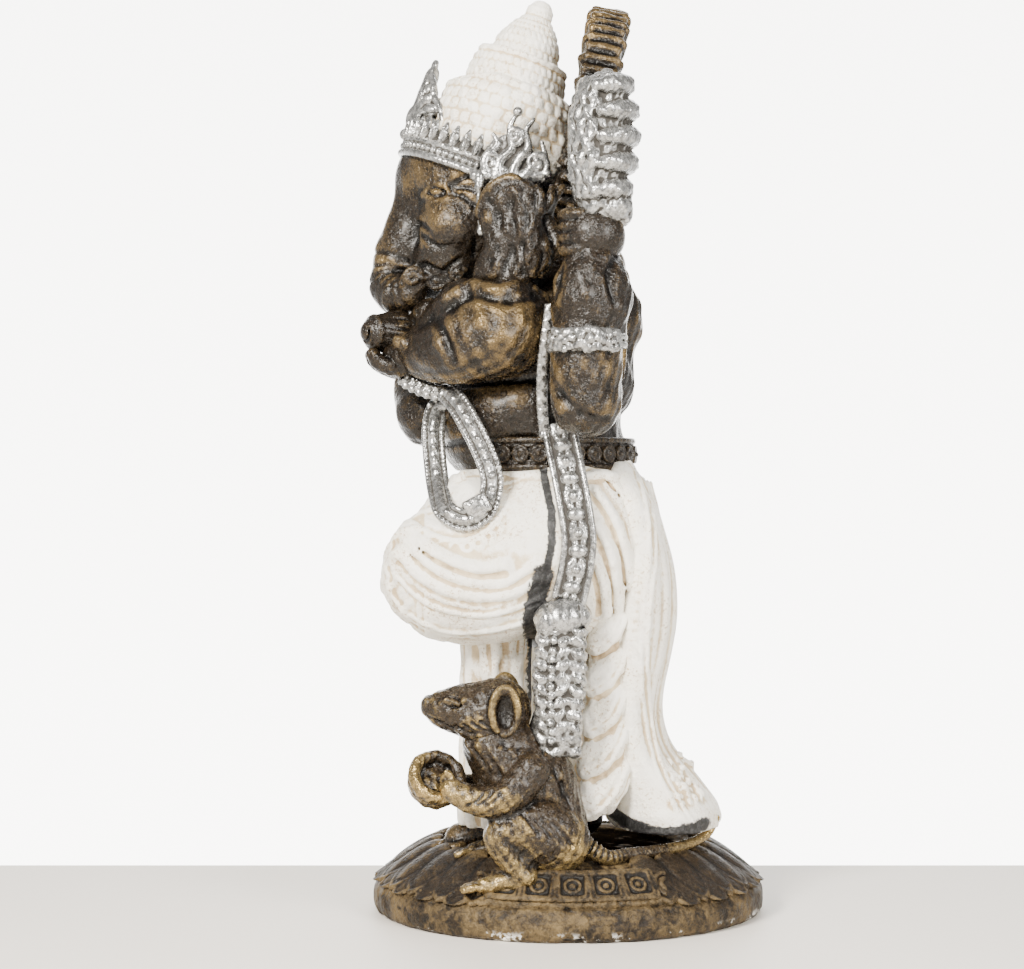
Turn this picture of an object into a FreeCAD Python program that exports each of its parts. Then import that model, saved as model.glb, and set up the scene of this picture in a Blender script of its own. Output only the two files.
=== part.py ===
"""Standing Ganesha idol in painted cast plaster, with its mouse, on a round lotus base.

Row frame: millimetres, +Z up, the idol faces -Y, its left hand side is +X.
Origin: centre of the flat underside of the base.

The idol is a set of plaster castings bonded together, with two steel rods inside the legs.
Every casting is one node. A casting that is bonded onto another one is cut to the face of
that other casting, so the pieces meet face to face and never overlap.
"""

import math
import os

import FreeCAD
import Part

V = FreeCAD.Vector

# ---------------------------------------------------------------- driving dimensions
HEIGHT = 350.0
BASE_R = 75.0
BAND_H = 12.0
DECK_R = 46.0
DECK_Z = 23.0
RIM_Z = 25.5
PETALS = 26
PETAL_SIZE = (6.4, 16.0, 3.6)
TILES = 5
TILE_PITCH_DEG = 10.5
TILE_SIZE = (12.0, 11.0, 12.0)
TILE_SLOPE_DEG = 38.0

ROD_R = 2.5
ROD_BOTTOM_Z = 6.0

THIGH = (V(23, 0, 139), V(27, -18, 137), V(30, -35, 133.5), V(32, -49, 129))
THIGH_R = (31, 30, 27, 20.5)
SHIN_TOP = V(20, -31, 118)
SHIN_FOOT = V(15, -30, 34)
RIGHT_LEG_TOP = V(-19, 0, 130)
RIGHT_LEG_FOOT = V(-21, -2, 34)

BELLY = V(0, -13, 190)
WAIST_Z = 174.0
BELT_H = 11.0
SHOULDER_Z = 230.0

HEAD = V(0, -34, 268)
HEAD_R = (31.0, 29.0, 31.0)
TIARA_TILT_DEG = 24.0
CROWN_TILT_DEG = 19.0

HALO_CENTRE = V(0, 7.5, 300)
HALO_R = 46.0
HALO_T = 14.0
HALO_LEAN_DEG = 11.0
HALO_RIBS = 40

REAR_ARM_X = 57.0
BUD_CENTRE = V(60, 13, 284)
BUD_R = (12.0, 29.0)
BUD_T = 15.0

TUBE_END = ((0.62, 0.78), (0.95, 0.25))  # end caps: reach past the end point and size, as shares of r
EGG_LATITUDES = (-76, -50, -25, 0, 25, 50, 76)
MIN_SHARE = 0.03  # a sliver smaller than this share of a cut piece is dropped


# ---------------------------------------------------------------- shape helpers
def ring(centre, u, v, a, b, points=12, flutes=0, depth=0.0):
    """A closed smooth section: an ellipse with semi-axes a along u and b along v, optionally fluted."""
    outline = []
    for i in range(points):
        t = 2 * math.pi * i / points
        k = 1 + depth * math.cos(flutes * t)
        outline.append(centre + u * (a * k * math.cos(t)) + v * (b * k * math.sin(t)))
    curve = Part.BSplineCurve()
    curve.interpolate(Points=outline, PeriodicFlag=True)
    return Part.Wire([curve.toShape()])


def skin(wires):
    """A solid lofted through closed sections."""
    return Part.makeLoft(wires, True, False)


def tube(points, radii, flat=1.0, side=None, points_round=12):
    """A limb: round sections along points, with rounded ends. flat squeezes the sections along side."""
    side = side or V(1, 0, 0)
    last = len(points) - 1
    steps = []
    for i, p in enumerate(points):
        tangent = (points[min(i + 1, last)] - points[max(i - 1, 0)]).normalize()
        steps.append((p, tangent, radii[i]))
    rounded = []
    for p, tangent, r in (steps[0], steps[-1]):
        out = tangent * (-1 if p is steps[0][0] else 1)
        rounded.append([(p + out * (r * reach), tangent, r * size) for reach, size in TUBE_END])
    steps = rounded[0][::-1] + steps + rounded[1]
    wires = []
    for p, tangent, r in steps:
        v = tangent.cross(side).normalize()
        u = v.cross(tangent).normalize()
        wires.append(ring(p, u, v, r * flat, r, points_round))
    return skin(wires)


def column(levels, points_round=16, flutes=0, depth=0.0):
    """A standing form from level sections (z, centre x, centre y, half width x, half depth y)."""
    wires = []
    for z, x, y, a, b in levels:
        wires.append(ring(V(x, y, z), V(1, 0, 0), V(0, 1, 0), a, b, points_round, flutes, depth))
    return skin(wires)


def egg(centre, radii, yaw=0.0, pitch=0.0, roll=0.0):
    """An ellipsoid, turned about X by pitch, about Y by roll, then about Z by yaw, in degrees."""
    a, b, c = radii
    wires = []
    for latitude in EGG_LATITUDES:
        t = math.radians(latitude)
        size = (a * math.cos(t), b * math.cos(t))
        wires.append(ring(V(0, 0, c * math.sin(t)), V(1, 0, 0), V(0, 1, 0), *size))
    shape = skin(wires)
    shape.rotate(V(0, 0, 0), V(1, 0, 0), pitch)
    shape.rotate(V(0, 0, 0), V(0, 1, 0), roll)
    shape.rotate(V(0, 0, 0), V(0, 0, 1), yaw)
    shape.translate(centre)
    return shape


def bead(centre, radius):
    return Part.makeSphere(radius, centre)


def turned(profile):
    """A solid of revolution about Z from (radius, z) points."""
    points = [V(r, 0, z) for r, z in profile]
    face = Part.Face(Part.makePolygon(points + [points[0]]))
    return face.revolve(V(0, 0, 0), V(0, 0, 1), 360)


def plate(outline, depth, centre, pitch=0.0, yaw=0.0):
    """A plate in the XZ plane with a smooth outline of (x, z) points, depth thick along Y."""
    curve = Part.BSplineCurve()
    curve.interpolate(Points=[V(x, -depth / 2, z) for x, z in outline], PeriodicFlag=True)
    shape = Part.Face(Part.Wire([curve.toShape()])).extrude(V(0, depth, 0))
    shape.rotate(V(0, 0, 0), V(1, 0, 0), pitch)
    shape.rotate(V(0, 0, 0), V(0, 0, 1), yaw)
    shape.translate(centre)
    return shape


def band(inner, outer, height, centre, pitch=0.0, yaw=0.0):
    """An elliptical hoop: inner and outer are (half width x, half depth y)."""
    def drum(size):
        wires = [ring(V(0, 0, z), V(1, 0, 0), V(0, 1, 0), *size) for z in (-height / 2, height / 2)]
        return skin(wires)

    shape = drum(outer).cut(drum(inner))
    shape.rotate(V(0, 0, 0), V(1, 0, 0), pitch)
    shape.rotate(V(0, 0, 0), V(0, 0, 1), yaw)
    shape.translate(centre)
    return shape


def ribbon(points, width, thick, across):
    """A flat strap along points: width lies along across, thick along the third direction."""
    last = len(points) - 1
    wires = []
    for i, p in enumerate(points):
        tangent = (points[min(i + 1, last)] - points[max(i - 1, 0)]).normalize()
        n = tangent.cross(across).normalize()
        u = n.cross(tangent).normalize()
        wires.append(ring(p, u, n, width / 2, thick / 2, 12))
    return skin(wires)


def mirrored(shape):
    """The same form on the other side of the idol."""
    return shape.mirror(V(0, 0, 0), V(1, 0, 0))


def group(shapes):
    """Several separate solids in one node."""
    return Part.makeCompound(shapes)


# ---------------------------------------------------------------- base
def base_band():
    lower = [(BASE_R - 1.5, 0), (BASE_R - 0.4, 1.5), (BASE_R, 6)]
    edge = lower + [(BASE_R - 0.6, 10.5), (BASE_R - 2.5, BAND_H)]
    return turned([(0, 0)] + edge + [(0, BAND_H)])


def lotus_ring():
    slope = [(BASE_R - 4, BAND_H), (BASE_R - 6, BAND_H + 3), (DECK_R + 6, RIM_Z - 1), (DECK_R + 3, RIM_Z)]
    return turned([(DECK_R, BAND_H)] + slope + [(DECK_R, RIM_Z - 1)])


def base_deck():
    return turned([(0, BAND_H), (DECK_R, BAND_H), (DECK_R, DECK_Z), (0, DECK_Z)])


def on_slope(shape, angle_deg):
    """Turns a shape built at +X to its place round the base."""
    shape.rotate(V(0, 0, 0), V(0, 0, 1), angle_deg)
    return shape


def tile_angle(angle_deg):
    """True where the side tile panels stand in place of petals."""
    half = TILES * TILE_PITCH_DEG / 2
    return min(abs(angle_deg), abs(angle_deg - 180), abs(angle_deg - 360)) < half


def lotus_petals():
    slope = math.degrees(math.atan2(RIM_Z - BAND_H, BASE_R - DECK_R - 6))
    petals = []
    for i in range(PETALS):
        angle = 360 * (i + 0.5) / PETALS
        if tile_angle(angle):
            continue
        petal = egg(V(0, 0, 0), (PETAL_SIZE[1], PETAL_SIZE[0], PETAL_SIZE[2]), roll=slope)
        petal.translate(V((BASE_R + DECK_R) / 2 - 1, 0, (RIM_Z + BAND_H) / 2 + 0.6))
        petals.append(on_slope(petal, angle))
    return group(petals)


def tile_panels():
    """Square panels, each with a boss, set into the slope on both sides."""
    depth, width, height = TILE_SIZE
    tiles = []
    for side in (0, 180):
        for i in range(TILES):
            tile = Part.makeBox(depth, width, height, V(-depth, -width / 2, -height / 2))
            tile = tile.makeFillet(1.2, tile.Edges)
            block = tile.fuse(bead(V(-1.4, 0, 0), 3.2))
            block.rotate(V(0, 0, 0), V(0, 1, 0), -TILE_SLOPE_DEG)
            block.translate(V(BASE_R - 7.5, 0, BAND_H + 6.2))
            tiles.append(on_slope(block, side + (i - (TILES - 1) / 2) * TILE_PITCH_DEG))
    return group(tiles)


# ---------------------------------------------------------------- legs and dress
def armature_rods():
    rods = []
    for x, y, top in ((RIGHT_LEG_FOOT.x, RIGHT_LEG_FOOT.y, 160), (SHIN_FOOT.x + 1, SHIN_FOOT.y, 128)):
        rods.append(Part.makeCylinder(ROD_R, top - ROD_BOTTOM_Z, V(x, y, ROD_BOTTOM_Z)))
    return group(rods)


def foot(ankle):
    sole = V(ankle.x, ankle.y, DECK_Z + 5.5)
    points = [sole + V(0, 8, 1), sole, sole + V(0, -9, -0.5), sole + V(0, -16, -1.6)]
    shape = tube(points, [6.5, 7.5, 6.8, 4.2], flat=1.25)
    floor = Part.makeBox(60, 90, 30, V(ankle.x - 30, ankle.y - 50, DECK_Z - 30))
    return shape.cut(floor)


def leg_column(top, bottom, radii):
    low = bottom + V(0, 0, 1)
    mid = (top + low) * 0.5
    levels = [
        (low.z, low.x, low.y, radii[0] * 0.82, radii[0]),
        (low.z + 8, low.x, low.y, radii[0], radii[0] * 1.1),
        (mid.z, mid.x, mid.y, radii[1], radii[1] * 1.05),
        (top.z, top.x, top.y, radii[2], radii[2] * 1.05),
    ]
    return column(levels, 20, 10, 0.03)


def left_thigh():
    """The thigh of the bent leg, wrapped in the dress, with the knee well forward."""
    return tube(list(THIGH), list(THIGH_R), flat=0.8)


def hip_wrap():
    return column([
        (104, 0, 6, 33, 22),
        (116, 0, 3, 38, 27),
        (134, 0, 0, 42, 31),
        (152, 0, -3, 42, 32),
        (164, 0, -6, 38, 31),
        (WAIST_Z - 5, 0, -7, 35, 29),
    ], 20)


def back_drape():
    return column([
        (34, 0, 36, 35, 19),
        (42, 0, 32, 34, 19),
        (52, 0, 28, 33, 18),
        (66, 0, 22, 33, 14),
        (84, 0, 20, 34, 13.5),
        (104, 0, 22, 36, 15),
        (128, 0, 25, 37, 14),
        (150, 0, 24, 34, 10.5),
        (168, 0, 19, 29, 6),
    ], 24, 12, 0.035)


def side_pleats(side):
    """The stepped cascade of pleats between the back drape and one leg."""
    points = [V(side * 31, 9, 108), V(side * 33, 11, 84), V(side * 33, 12, 58), V(side * 31, 16, 38)]
    return tube(points, [7, 8.5, 9, 5.5], flat=0.8)


def front_pleats():
    points = [V(-3, -33, 158), V(-3, -33, 130), V(-4, -27, 96), V(-5, -24, 66), V(-5, -25, 42)]
    return ribbon(points, 15, 9, V(1, 0, 0))


# ---------------------------------------------------------------- body
def torso():
    return column([
        (WAIST_Z - 5, 0, -7, 33, 29),
        (WAIST_Z + 4, 0, -9, 33.5, 31),
        (BELLY.z, 0, BELLY.y, 36, 35),
        (206, 0, -10, 36, 32),
        (220, 0, -4, 39, 26),
        (SHOULDER_Z + 2, 0, 0, 37, 21),
        (242, 0, -5, 24, 17),
        (252, 0, -10, 17, 14),
    ], 20)


def waist_belt():
    return band((30, 26), (37, 33.5), BELT_H, V(0, -8, WAIST_Z + 0.5), pitch=-2)


def belt_medallions():
    studs = []
    for i in range(12):
        t = math.radians(30 * i + 15)
        out = V(math.cos(t), math.sin(t), 0)
        foot = V(35.5 * out.x, -8 + 32 * out.y, WAIST_Z + 0.5)
        studs.append(Part.makeCylinder(4.2, 5.4, foot, out))
    return group(studs)


def chest_strip():
    points = [V(36, -6, 236), V(41, -8, 224), V(39, -9, 205), V(37, -9, 190), V(36, -7, 180)]
    return ribbon(points, 6.5, 5, V(0, 1, 0))


def sash_points(side):
    return [
        V(side * 36, -5, 184),
        V(side * 42, -3, 168),
        V(side * 47, 0, 150),
        V(side * 49, 1, 130),
        V(side * 48, -1, 112),
    ]


def sash(side):
    return ribbon(sash_points(side), 16.5, 6.5, V(0, 1, 0))


def left_sash_knot():
    return tube([V(49, -8, 112), V(50, 0, 113), V(49, 8, 113.5)], [6.5, 7.0, 6.2])


def sash_tassel(side):
    points = [V(side * 48, -1, 107), V(side * 50, -2, 96), V(side * 51, -4, 80), V(side * 50, -6, 66)]
    return tube(points, [7, 9, 9.5, 6.5], flat=0.62)


def right_sash():
    upper = sash(-1)
    return upper.fuse(sash_tassel(-1))


def loop_sash():
    points = [
        V(21, -47, 190),
        V(27, -49, 178),
        V(35, -49, 165),
        V(41, -44, 156),
        V(46, -37, 151.5),
        V(47, -29, 156),
        V(45, -26, 165),
        V(40, -29, 176),
        V(34, -35, 187),
        V(28, -42, 197),
    ]
    return tube(points, [4.2] * len(points), flat=0.7)


# ---------------------------------------------------------------- head
def head():
    skull = egg(HEAD, HEAD_R)
    brow = egg(V(0, -49, 279), (21, 15, 15))
    shape = skull.fuse(brow)
    for side in (1, -1):
        shape = shape.fuse(egg(V(side * 16, -47, 255), (12.5, 12, 13)))
    jaw = egg(V(0, -46, 243), (14, 12, 9))
    return shape.fuse(jaw)


def trunk():
    """Hangs down, then curls forward and round to the left, where its tip is rolled up."""
    points = [
        V(0, -54, 276),
        V(0, -61, 263),
        V(1, -65.5, 251),
        V(4, -67, 242),
        V(9, -65.5, 237),
        V(14, -60, 234.5),
        V(17.5, -54.5, 236),
    ]
    shape = tube(points, [14, 12, 11, 10, 8.4, 6.8, 5.2])
    return shape.fuse(egg(V(18, -57, 240), (4.2, 5.0, 5.4)))


def tusks():
    left = tube([V(13, -47, 246), V(15, -52, 240), V(16, -56, 231)], [3.4, 3.0, 1.4])
    right = tube([V(-13, -47, 246), V(-15, -51, 241)], [3.4, 2.9])
    return group([left, right])


def ear(side):
    front = [(-9, -9), (-14, 2), (-13, 14), (-4, 22)]
    back = [(8, 21), (15, 10), (15, -4), (9, -17), (2, -24), (-4, -20)]
    outline = front + back
    shape = plate(outline, 5.5, V(0, 0, 0), yaw=52)
    shape.translate(V(40, -18, 258))
    return shape if side > 0 else mirrored(shape)


def tiara_band():
    return band((28.5, 26.5), (33.5, 31.5), 12.5, V(0, -32.5, 283), pitch=-TIARA_TILT_DEG)


def tiara_crest():
    right_half = [(0, -9), (15, -6), (13, 4), (7, 14), (2.5, 23), (0, 26)]
    left_half = [(-x, z) for x, z in right_half[-2:0:-1]]
    outline = right_half + left_half
    return plate(outline, 6, V(0, -58.5, 301), pitch=-22)


def ear_scroll(side):
    lower = [(-14, -13), (0, -14), (11, -12), (15, -3)]
    flames = [(12, 6), (7, 13), (1, 15), (-4, 10), (-8, 9), (-12, 2)]
    outline = lower + flames
    shape = plate(outline, 5, V(0, 0, 0), yaw=90)
    shape.translate(V(34, -22, 288))
    return shape if side > 0 else mirrored(shape)


def ear_pendants():
    drops = []
    for side in (1, -1):
        drops.append(bead(V(side * 33, -33, 273), 3))
        drops.append(tube([V(side * 33, -33.5, 268), V(side * 33, -33.5, 256)], [1.8, 1.5]))
    return group(drops)


def tier(offset, radius, height):
    """One tier of the tall hair crown: offset runs up its leaning axis from the middle of the head."""
    tilt = math.radians(CROWN_TILT_DEG)
    axis = V(0, math.sin(tilt), math.cos(tilt))
    centre = V(0, -29.5, 288) + axis * offset
    side = V(1, 0, 0)
    back = axis.cross(side)
    wires = []
    for share, scale in ((-1, 0.86), (-0.55, 0.98), (0, 1.0), (0.55, 0.9), (1, 0.66)):
        level = centre + axis * (share * height / 2)
        wires.append(ring(level, side, back, radius * scale, radius * scale))
    return skin(wires)


def headdress_top():
    knob = column([
        (331, 0, -12.5, 9.5, 9),
        (336, 0, -11, 8.8, 8.2),
        (342, 0, -9.5, 6.2, 5.8),
        (347, 0, -8.6, 2.8, 2.6),
        (HEIGHT, 0, -8.3, 0.7, 0.7),
    ], 12)
    return tier(42, 13.5, 14).fuse(knob)


def hair_locks():
    points = [V(0, 3, 262), V(0, 10, 250), V(0, 15, 234), V(0, 17, 216), V(0, 17, 204)]
    shape = tube(points, [11, 12.5, 11.5, 9, 6], flat=1.7)
    return shape


def halo():
    disc = Part.makeCylinder(HALO_R, HALO_T, V(0, 0, -HALO_T / 2))
    depth = 1.6
    width = 1.6
    for i in range(HALO_RIBS):
        notch = Part.makeBox(depth * 2, width, HALO_T + 2, V(HALO_R - depth, -width / 2, -HALO_T / 2 - 1))
        notch.rotate(V(0, 0, 0), V(0, 0, 1), 360 * (i + 0.5) / HALO_RIBS)
        disc = disc.cut(notch)
    disc.rotate(V(0, 0, 0), V(1, 0, 0), 90 - HALO_LEAN_DEG)
    disc.translate(HALO_CENTRE)
    return disc


# ---------------------------------------------------------------- arms and what they hold
def front_left_arm():
    points = [V(33, -7, 228), V(37, -20, 222), V(39, -34, 217), V(33, -46, 215), V(24, -55, 215)]
    return tube(points, [14, 15.5, 15, 12, 9.5])


def front_left_hand():
    palm = egg(V(14, -64, 214.5), (12, 12, 8))
    thumb = tube([V(20, -58, 219), V(22, -66, 222), V(17, -71, 224)], [3.6, 3.4, 2.6])
    return palm.fuse(thumb)


def modak():
    return tube([V(11, -66, 222), V(11, -70, 222), V(11, -75, 222.5)], [6.8, 7.2, 4.4])


def front_right_arm():
    upper_points = [V(-32, -8, 228), V(-35, -25, 216), V(-31, -44, 201), V(-22, -55, 191)]
    upper = tube(upper_points, [13.5, 13.5, 13, 13])
    fore = tube([V(-22, -56, 190), V(-32, -60, 200), V(-42, -60, 212)], [12.5, 10.5, 8])
    return upper.fuse(fore)


def front_right_armband():
    return band((12, 12), (16.2, 16.2), 7, V(-32, -42, 202.5), pitch=-52)


def front_right_hand():
    palm = egg(V(-46, -61, 223), (8.5, 4.6, 10.5))
    shape = palm
    for i in range(4):
        x = -52 + 4.1 * i
        shape = shape.fuse(tube([V(x, -61, 228), V(x - 0.5, -62, 240 - abs(i - 1.5))], [2.5, 2.0]))
    return shape.fuse(tube([V(-39, -62, 220), V(-35, -63, 229)], [2.8, 2.2]))


def rear_arm(side, y):
    """Upper arm down from the shoulder, elbow, and forearm folded up beside it."""
    x = side * REAR_ARM_X
    lift = 0 if side > 0 else 9
    upper = tube([
        V(side * 33, 6 + y * 0.3, 228),
        V(side * 44, 6 + y * 0.6, 212),
        V(side * 52, 5 + y, 197 + lift),
    ], [13, 12.5, 12])
    fore = tube([
        V(x, 4.5 + y, 193 + lift),
        V(x, 5.5 + y * 0.9, 208 + lift * 0.7),
        V(x, 7 + y * 0.7, 230),
        V(x, 8 + y * 0.4, 243),
    ], [13.5, 13, 13.2, 9.5])
    return upper.fuse(fore)


def rear_armband(side, y):
    return band((11, 12), (15.6, 16.2), 9, V(side * REAR_ARM_X, 6 + y * 0.8, 214.5), pitch=4)


def rear_hand(side, y):
    x = side * REAR_ARM_X
    palm = egg(V(x, 8 + y * 0.4, 251), (9.5, 9.5, 8))
    shape = palm
    for i in range(4):
        z = 246 + 3.6 * i
        finger = tube([V(x + side * 4, 2 + y * 0.4, z), V(x - side * 2, y * 0.4, z)], [2.6, 2.4])
        shape = shape.fuse(finger)
    return shape


def lotus_bud():
    """A tall lotus bud held by the rear left hand: a thick pointed oval with ribs down its outer edge."""
    half_w, half_h = BUD_R
    outline = []
    for i in range(20):
        t = 2 * math.pi * i / 20
        outline.append((half_w * math.cos(t) * (1 - 0.18 * math.sin(t)), half_h * math.sin(t)))
    body = plate(outline, BUD_T, V(0, 0, 0))
    for i in range(6):
        z = half_h * (0.62 - 0.25 * i)
        groove = Part.makeBox(30, BUD_T + 2, 3.0, V(half_w * 0.72, -BUD_T / 2 - 1, z - 1.5))
        body = body.cut(groove)
    body.rotate(V(0, 0, 0), V(0, 0, 1), 8)
    body.translate(BUD_CENTRE)
    return body


def axe():
    x, y = -REAR_ARM_X, 14
    handle = Part.makeCylinder(2.6, 66, V(x, y, 238))
    outline = [(2, -9), (-6, -10), (-15, -15), (-17, 0), (-15, 15), (-6, 10), (2, 9)]
    blade = plate(outline, 5, V(x, y, 288))
    tip = bead(V(x, y, 305), 4.2)
    return handle.fuse(blade).fuse(tip)


# ---------------------------------------------------------------- mouse
def mouse_body():
    body = egg(V(47, -10, 43), (17, 20, 21), pitch=-14)
    neck = tube([V(48, -14, 60), V(48, -20, 72)], [14, 10.5])
    return body.fuse(neck)


def mouse_head():
    points = [V(48, -24, 78), V(49, -34, 80), V(49.5, -44, 81.5), V(49.5, -51, 82.5)]
    shape = tube(points, [11, 11.2, 7.5, 4.0])
    near = egg(V(58, -24.5, 82.5), (2.6, 6.2, 7.2), yaw=-12)
    far = egg(V(40, -26.5, 88), (2.6, 6.0, 6.8), yaw=12)
    return shape.fuse(near).fuse(far)


def mouse_limbs():
    limbs = []
    for x, out in ((57, 1), (38, -1)):
        limbs.append(tube([V(x, -20, 62), V(x + 3 * out, -28, 52), V(x - 1 * out, -41, 49)], [6, 5.4, 4.2]))
    near_points = [V(59, -6, 38), V(61, -24, 36), V(61, -21, 24), V(61, -26, 19.5), V(61, -35, 18)]
    near_leg = tube(near_points, [8, 7, 4.6, 3.8, 3])
    far_leg = tube([V(35, -8, 36), V(33, -26, 37), V(33, -26, 29), V(33, -34, 26.5)], [8, 6.5, 4.5, 3.4])
    return group(limbs + [near_leg, far_leg])


def mouse_tail():
    root = [V(52, 4, 33), V(50, 12, 27.5), V(45, 21, 27)]
    round_the_deck = [V(38, 33, 27.5), V(29, 44, 28.5), V(21, 52, 31), V(17, 56, 37)]
    return tube(root + round_the_deck, [4.2, 3.4, 2.9, 2.6, 2.4, 2.1, 1.7])


def mouse_bowl():
    bowl = egg(V(52, -49.5, 55.5), (10.5, 10.5, 10.5))
    top = Part.makeBox(40, 40, 20, V(-20, -20, 4))
    top.rotate(V(0, 0, 0), V(1, 0, 0), -28)
    top.translate(V(52, -49.5, 55.5))
    bowl = bowl.cut(top)
    sweet = egg(V(52, -47.6, 58.6), (7.0, 7.0, 4.6), pitch=-28)
    return bowl.fuse(sweet)


# ---------------------------------------------------------------- assembly
# Order of bonding: a later piece is cut to the faces of the earlier ones that it meets.
PIECES = [
    ("armature_rods", armature_rods),
    ("base_band", base_band),
    ("lotus_ring", lotus_ring),
    ("base_deck", base_deck),
    ("lotus_petals", lotus_petals),
    ("tile_panels", tile_panels),
    ("hip_wrap", hip_wrap),
    ("torso", torso),
    ("left_thigh", left_thigh),
    ("left_foot", lambda: foot(SHIN_FOOT)),
    ("right_foot", lambda: foot(RIGHT_LEG_FOOT)),
    ("left_shin", lambda: leg_column(SHIN_TOP, SHIN_FOOT, (11, 13.5, 13))),
    ("right_leg", lambda: leg_column(RIGHT_LEG_TOP, RIGHT_LEG_FOOT, (12, 14.5, 16))),
    ("back_drape", back_drape),
    ("left_side_pleats", lambda: side_pleats(1)),
    ("right_side_pleats", lambda: side_pleats(-1)),
    ("front_pleats", front_pleats),
    ("waist_belt", waist_belt),
    ("belt_medallions", belt_medallions),
    ("head", head),
    ("trunk", trunk),
    ("tusks", tusks),
    ("halo", halo),
    ("hair_locks", hair_locks),
    ("front_left_arm", front_left_arm),
    ("front_right_arm", front_right_arm),
    ("rear_left_arm", lambda: rear_arm(1, 0)),
    ("rear_right_arm", lambda: rear_arm(-1, 15)),
    ("front_left_hand", front_left_hand),
    ("front_right_hand", front_right_hand),
    ("rear_left_hand", lambda: rear_hand(1, 0)),
    ("rear_right_hand", lambda: rear_hand(-1, 15)),
    ("modak", modak),
    ("lotus_bud", lotus_bud),
    ("axe", axe),
    ("front_right_armband", front_right_armband),
    ("rear_left_armband", lambda: rear_armband(1, 0)),
    ("rear_right_armband", lambda: rear_armband(-1, 15)),
    ("chest_strip", chest_strip),
    ("left_sash_knot", left_sash_knot),
    ("left_sash", lambda: sash(1)),
    ("right_sash", right_sash),
    ("loop_sash", loop_sash),
    ("headdress_lower_tier", lambda: tier(11, 27.5, 30)),
    ("headdress_middle_tier", lambda: tier(30, 19.5, 18)),
    ("headdress_top", headdress_top),
    ("tiara_band", tiara_band),
    ("tiara_crest", tiara_crest),
    ("left_ear_scroll", lambda: ear_scroll(1)),
    ("right_ear_scroll", lambda: ear_scroll(-1)),
    ("ear_pendants", ear_pendants),
    ("left_ear", lambda: ear(1)),
    ("right_ear", lambda: ear(-1)),
    ("mouse_body", mouse_body),
    ("mouse_head", mouse_head),
    ("mouse_limbs", mouse_limbs),
    ("mouse_bowl", mouse_bowl),
    ("mouse_tail", mouse_tail),
    ("left_sash_tassel", lambda: sash_tassel(1)),
]


def boxes_touch(a, b):
    return a.BoundBox.intersect(b.BoundBox)


def clean(shape, volume):
    """The solids of a cut piece that are worth keeping."""
    kept = [s for s in shape.Solids if s.Volume > MIN_SHARE * volume and s.isValid()]
    return kept


def bonded(name, shape, earlier):
    """The solids of a piece once the earlier pieces are cut out of it."""
    solids = []
    for solid in shape.Solids:
        left = [solid]
        for other_name, other in earlier:
            cut = []
            for s in left:
                for tool in other:
                    if boxes_touch(s, tool) and s.common(tool).Volume > 1e-3:
                        result = s.cut(tool)
                        parts = clean(result, s.Volume)
                        if not parts:
                            print("cut failed:", name, "by", other_name)
                            parts = [s]
                        s = parts[0] if len(parts) == 1 else max(parts, key=lambda p: p.Volume)
                cut.append(s)
            left = cut
        solids += left
    return solids


def main():
    os.makedirs("parts", exist_ok=True)
    earlier = []
    for name, make in PIECES:
        solids = bonded(name, make(), earlier)
        earlier.append((name, solids))
        shape = solids[0] if len(solids) == 1 else Part.makeCompound(solids)
        shape.exportStep("parts/" + name + ".step")
        box = shape.BoundBox
        size = f"{box.XLength:6.1f} {box.YLength:6.1f} {box.ZLength:6.1f}"
        print(f"{name:24s} solids {len(solids):3d} valid {shape.isValid()} cm3 {shape.Volume / 1000:8.2f} {size}")


main()
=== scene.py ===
from math import atan2, cos, degrees, pi, radians, sin, sqrt

import bpy
import numpy as np
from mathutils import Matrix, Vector


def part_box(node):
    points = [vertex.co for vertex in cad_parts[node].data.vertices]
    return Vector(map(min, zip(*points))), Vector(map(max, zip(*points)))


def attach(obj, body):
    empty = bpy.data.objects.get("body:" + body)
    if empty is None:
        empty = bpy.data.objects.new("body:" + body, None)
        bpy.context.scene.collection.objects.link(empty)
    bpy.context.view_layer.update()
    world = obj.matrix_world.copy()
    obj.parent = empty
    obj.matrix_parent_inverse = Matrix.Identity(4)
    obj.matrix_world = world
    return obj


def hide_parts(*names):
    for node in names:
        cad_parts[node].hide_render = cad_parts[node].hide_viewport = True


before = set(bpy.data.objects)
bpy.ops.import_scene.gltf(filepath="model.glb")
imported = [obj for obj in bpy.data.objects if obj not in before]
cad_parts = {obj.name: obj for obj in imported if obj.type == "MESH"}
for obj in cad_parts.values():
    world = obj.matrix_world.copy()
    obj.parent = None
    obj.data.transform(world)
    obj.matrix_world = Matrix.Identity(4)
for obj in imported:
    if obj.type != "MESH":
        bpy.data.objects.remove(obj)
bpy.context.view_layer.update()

# Every casting is modelled as clay: a signed distance on a fine grid, in millimetres in the row frame,
# which is then skinned with quads. Forms are joined and carved softly, as a sculptor would.

MM = 0.001
FAR = 9.0           # the distance, in millimetres, that empty clay space starts with
UP, BACKWARDS, INWARDS, OUTWARDS = (0, 0, 1), (0, 1, 0), (-1, 0, 0), (1, 0, 0)
SIDES = {1: "left", -1: "right"}
COARSE = 1.0
SMOOTH_ROUNDS, SHRINK, SWELL_BACK = 2, 0.5, -0.52     # smoothing that keeps a piece's volume
FINE_RELIEF, BROAD_RELIEF = 6, 40                     # rounds of averaging that each relief is measured against
random = np.random.default_rng(7)


def corners(node):
    low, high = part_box(node)
    return np.array(low) / MM, np.array(high) / MM


# ------------------------------------------------------------------ forms: (low, high, distance)
def vec(p):
    return np.array(p, float)


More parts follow.
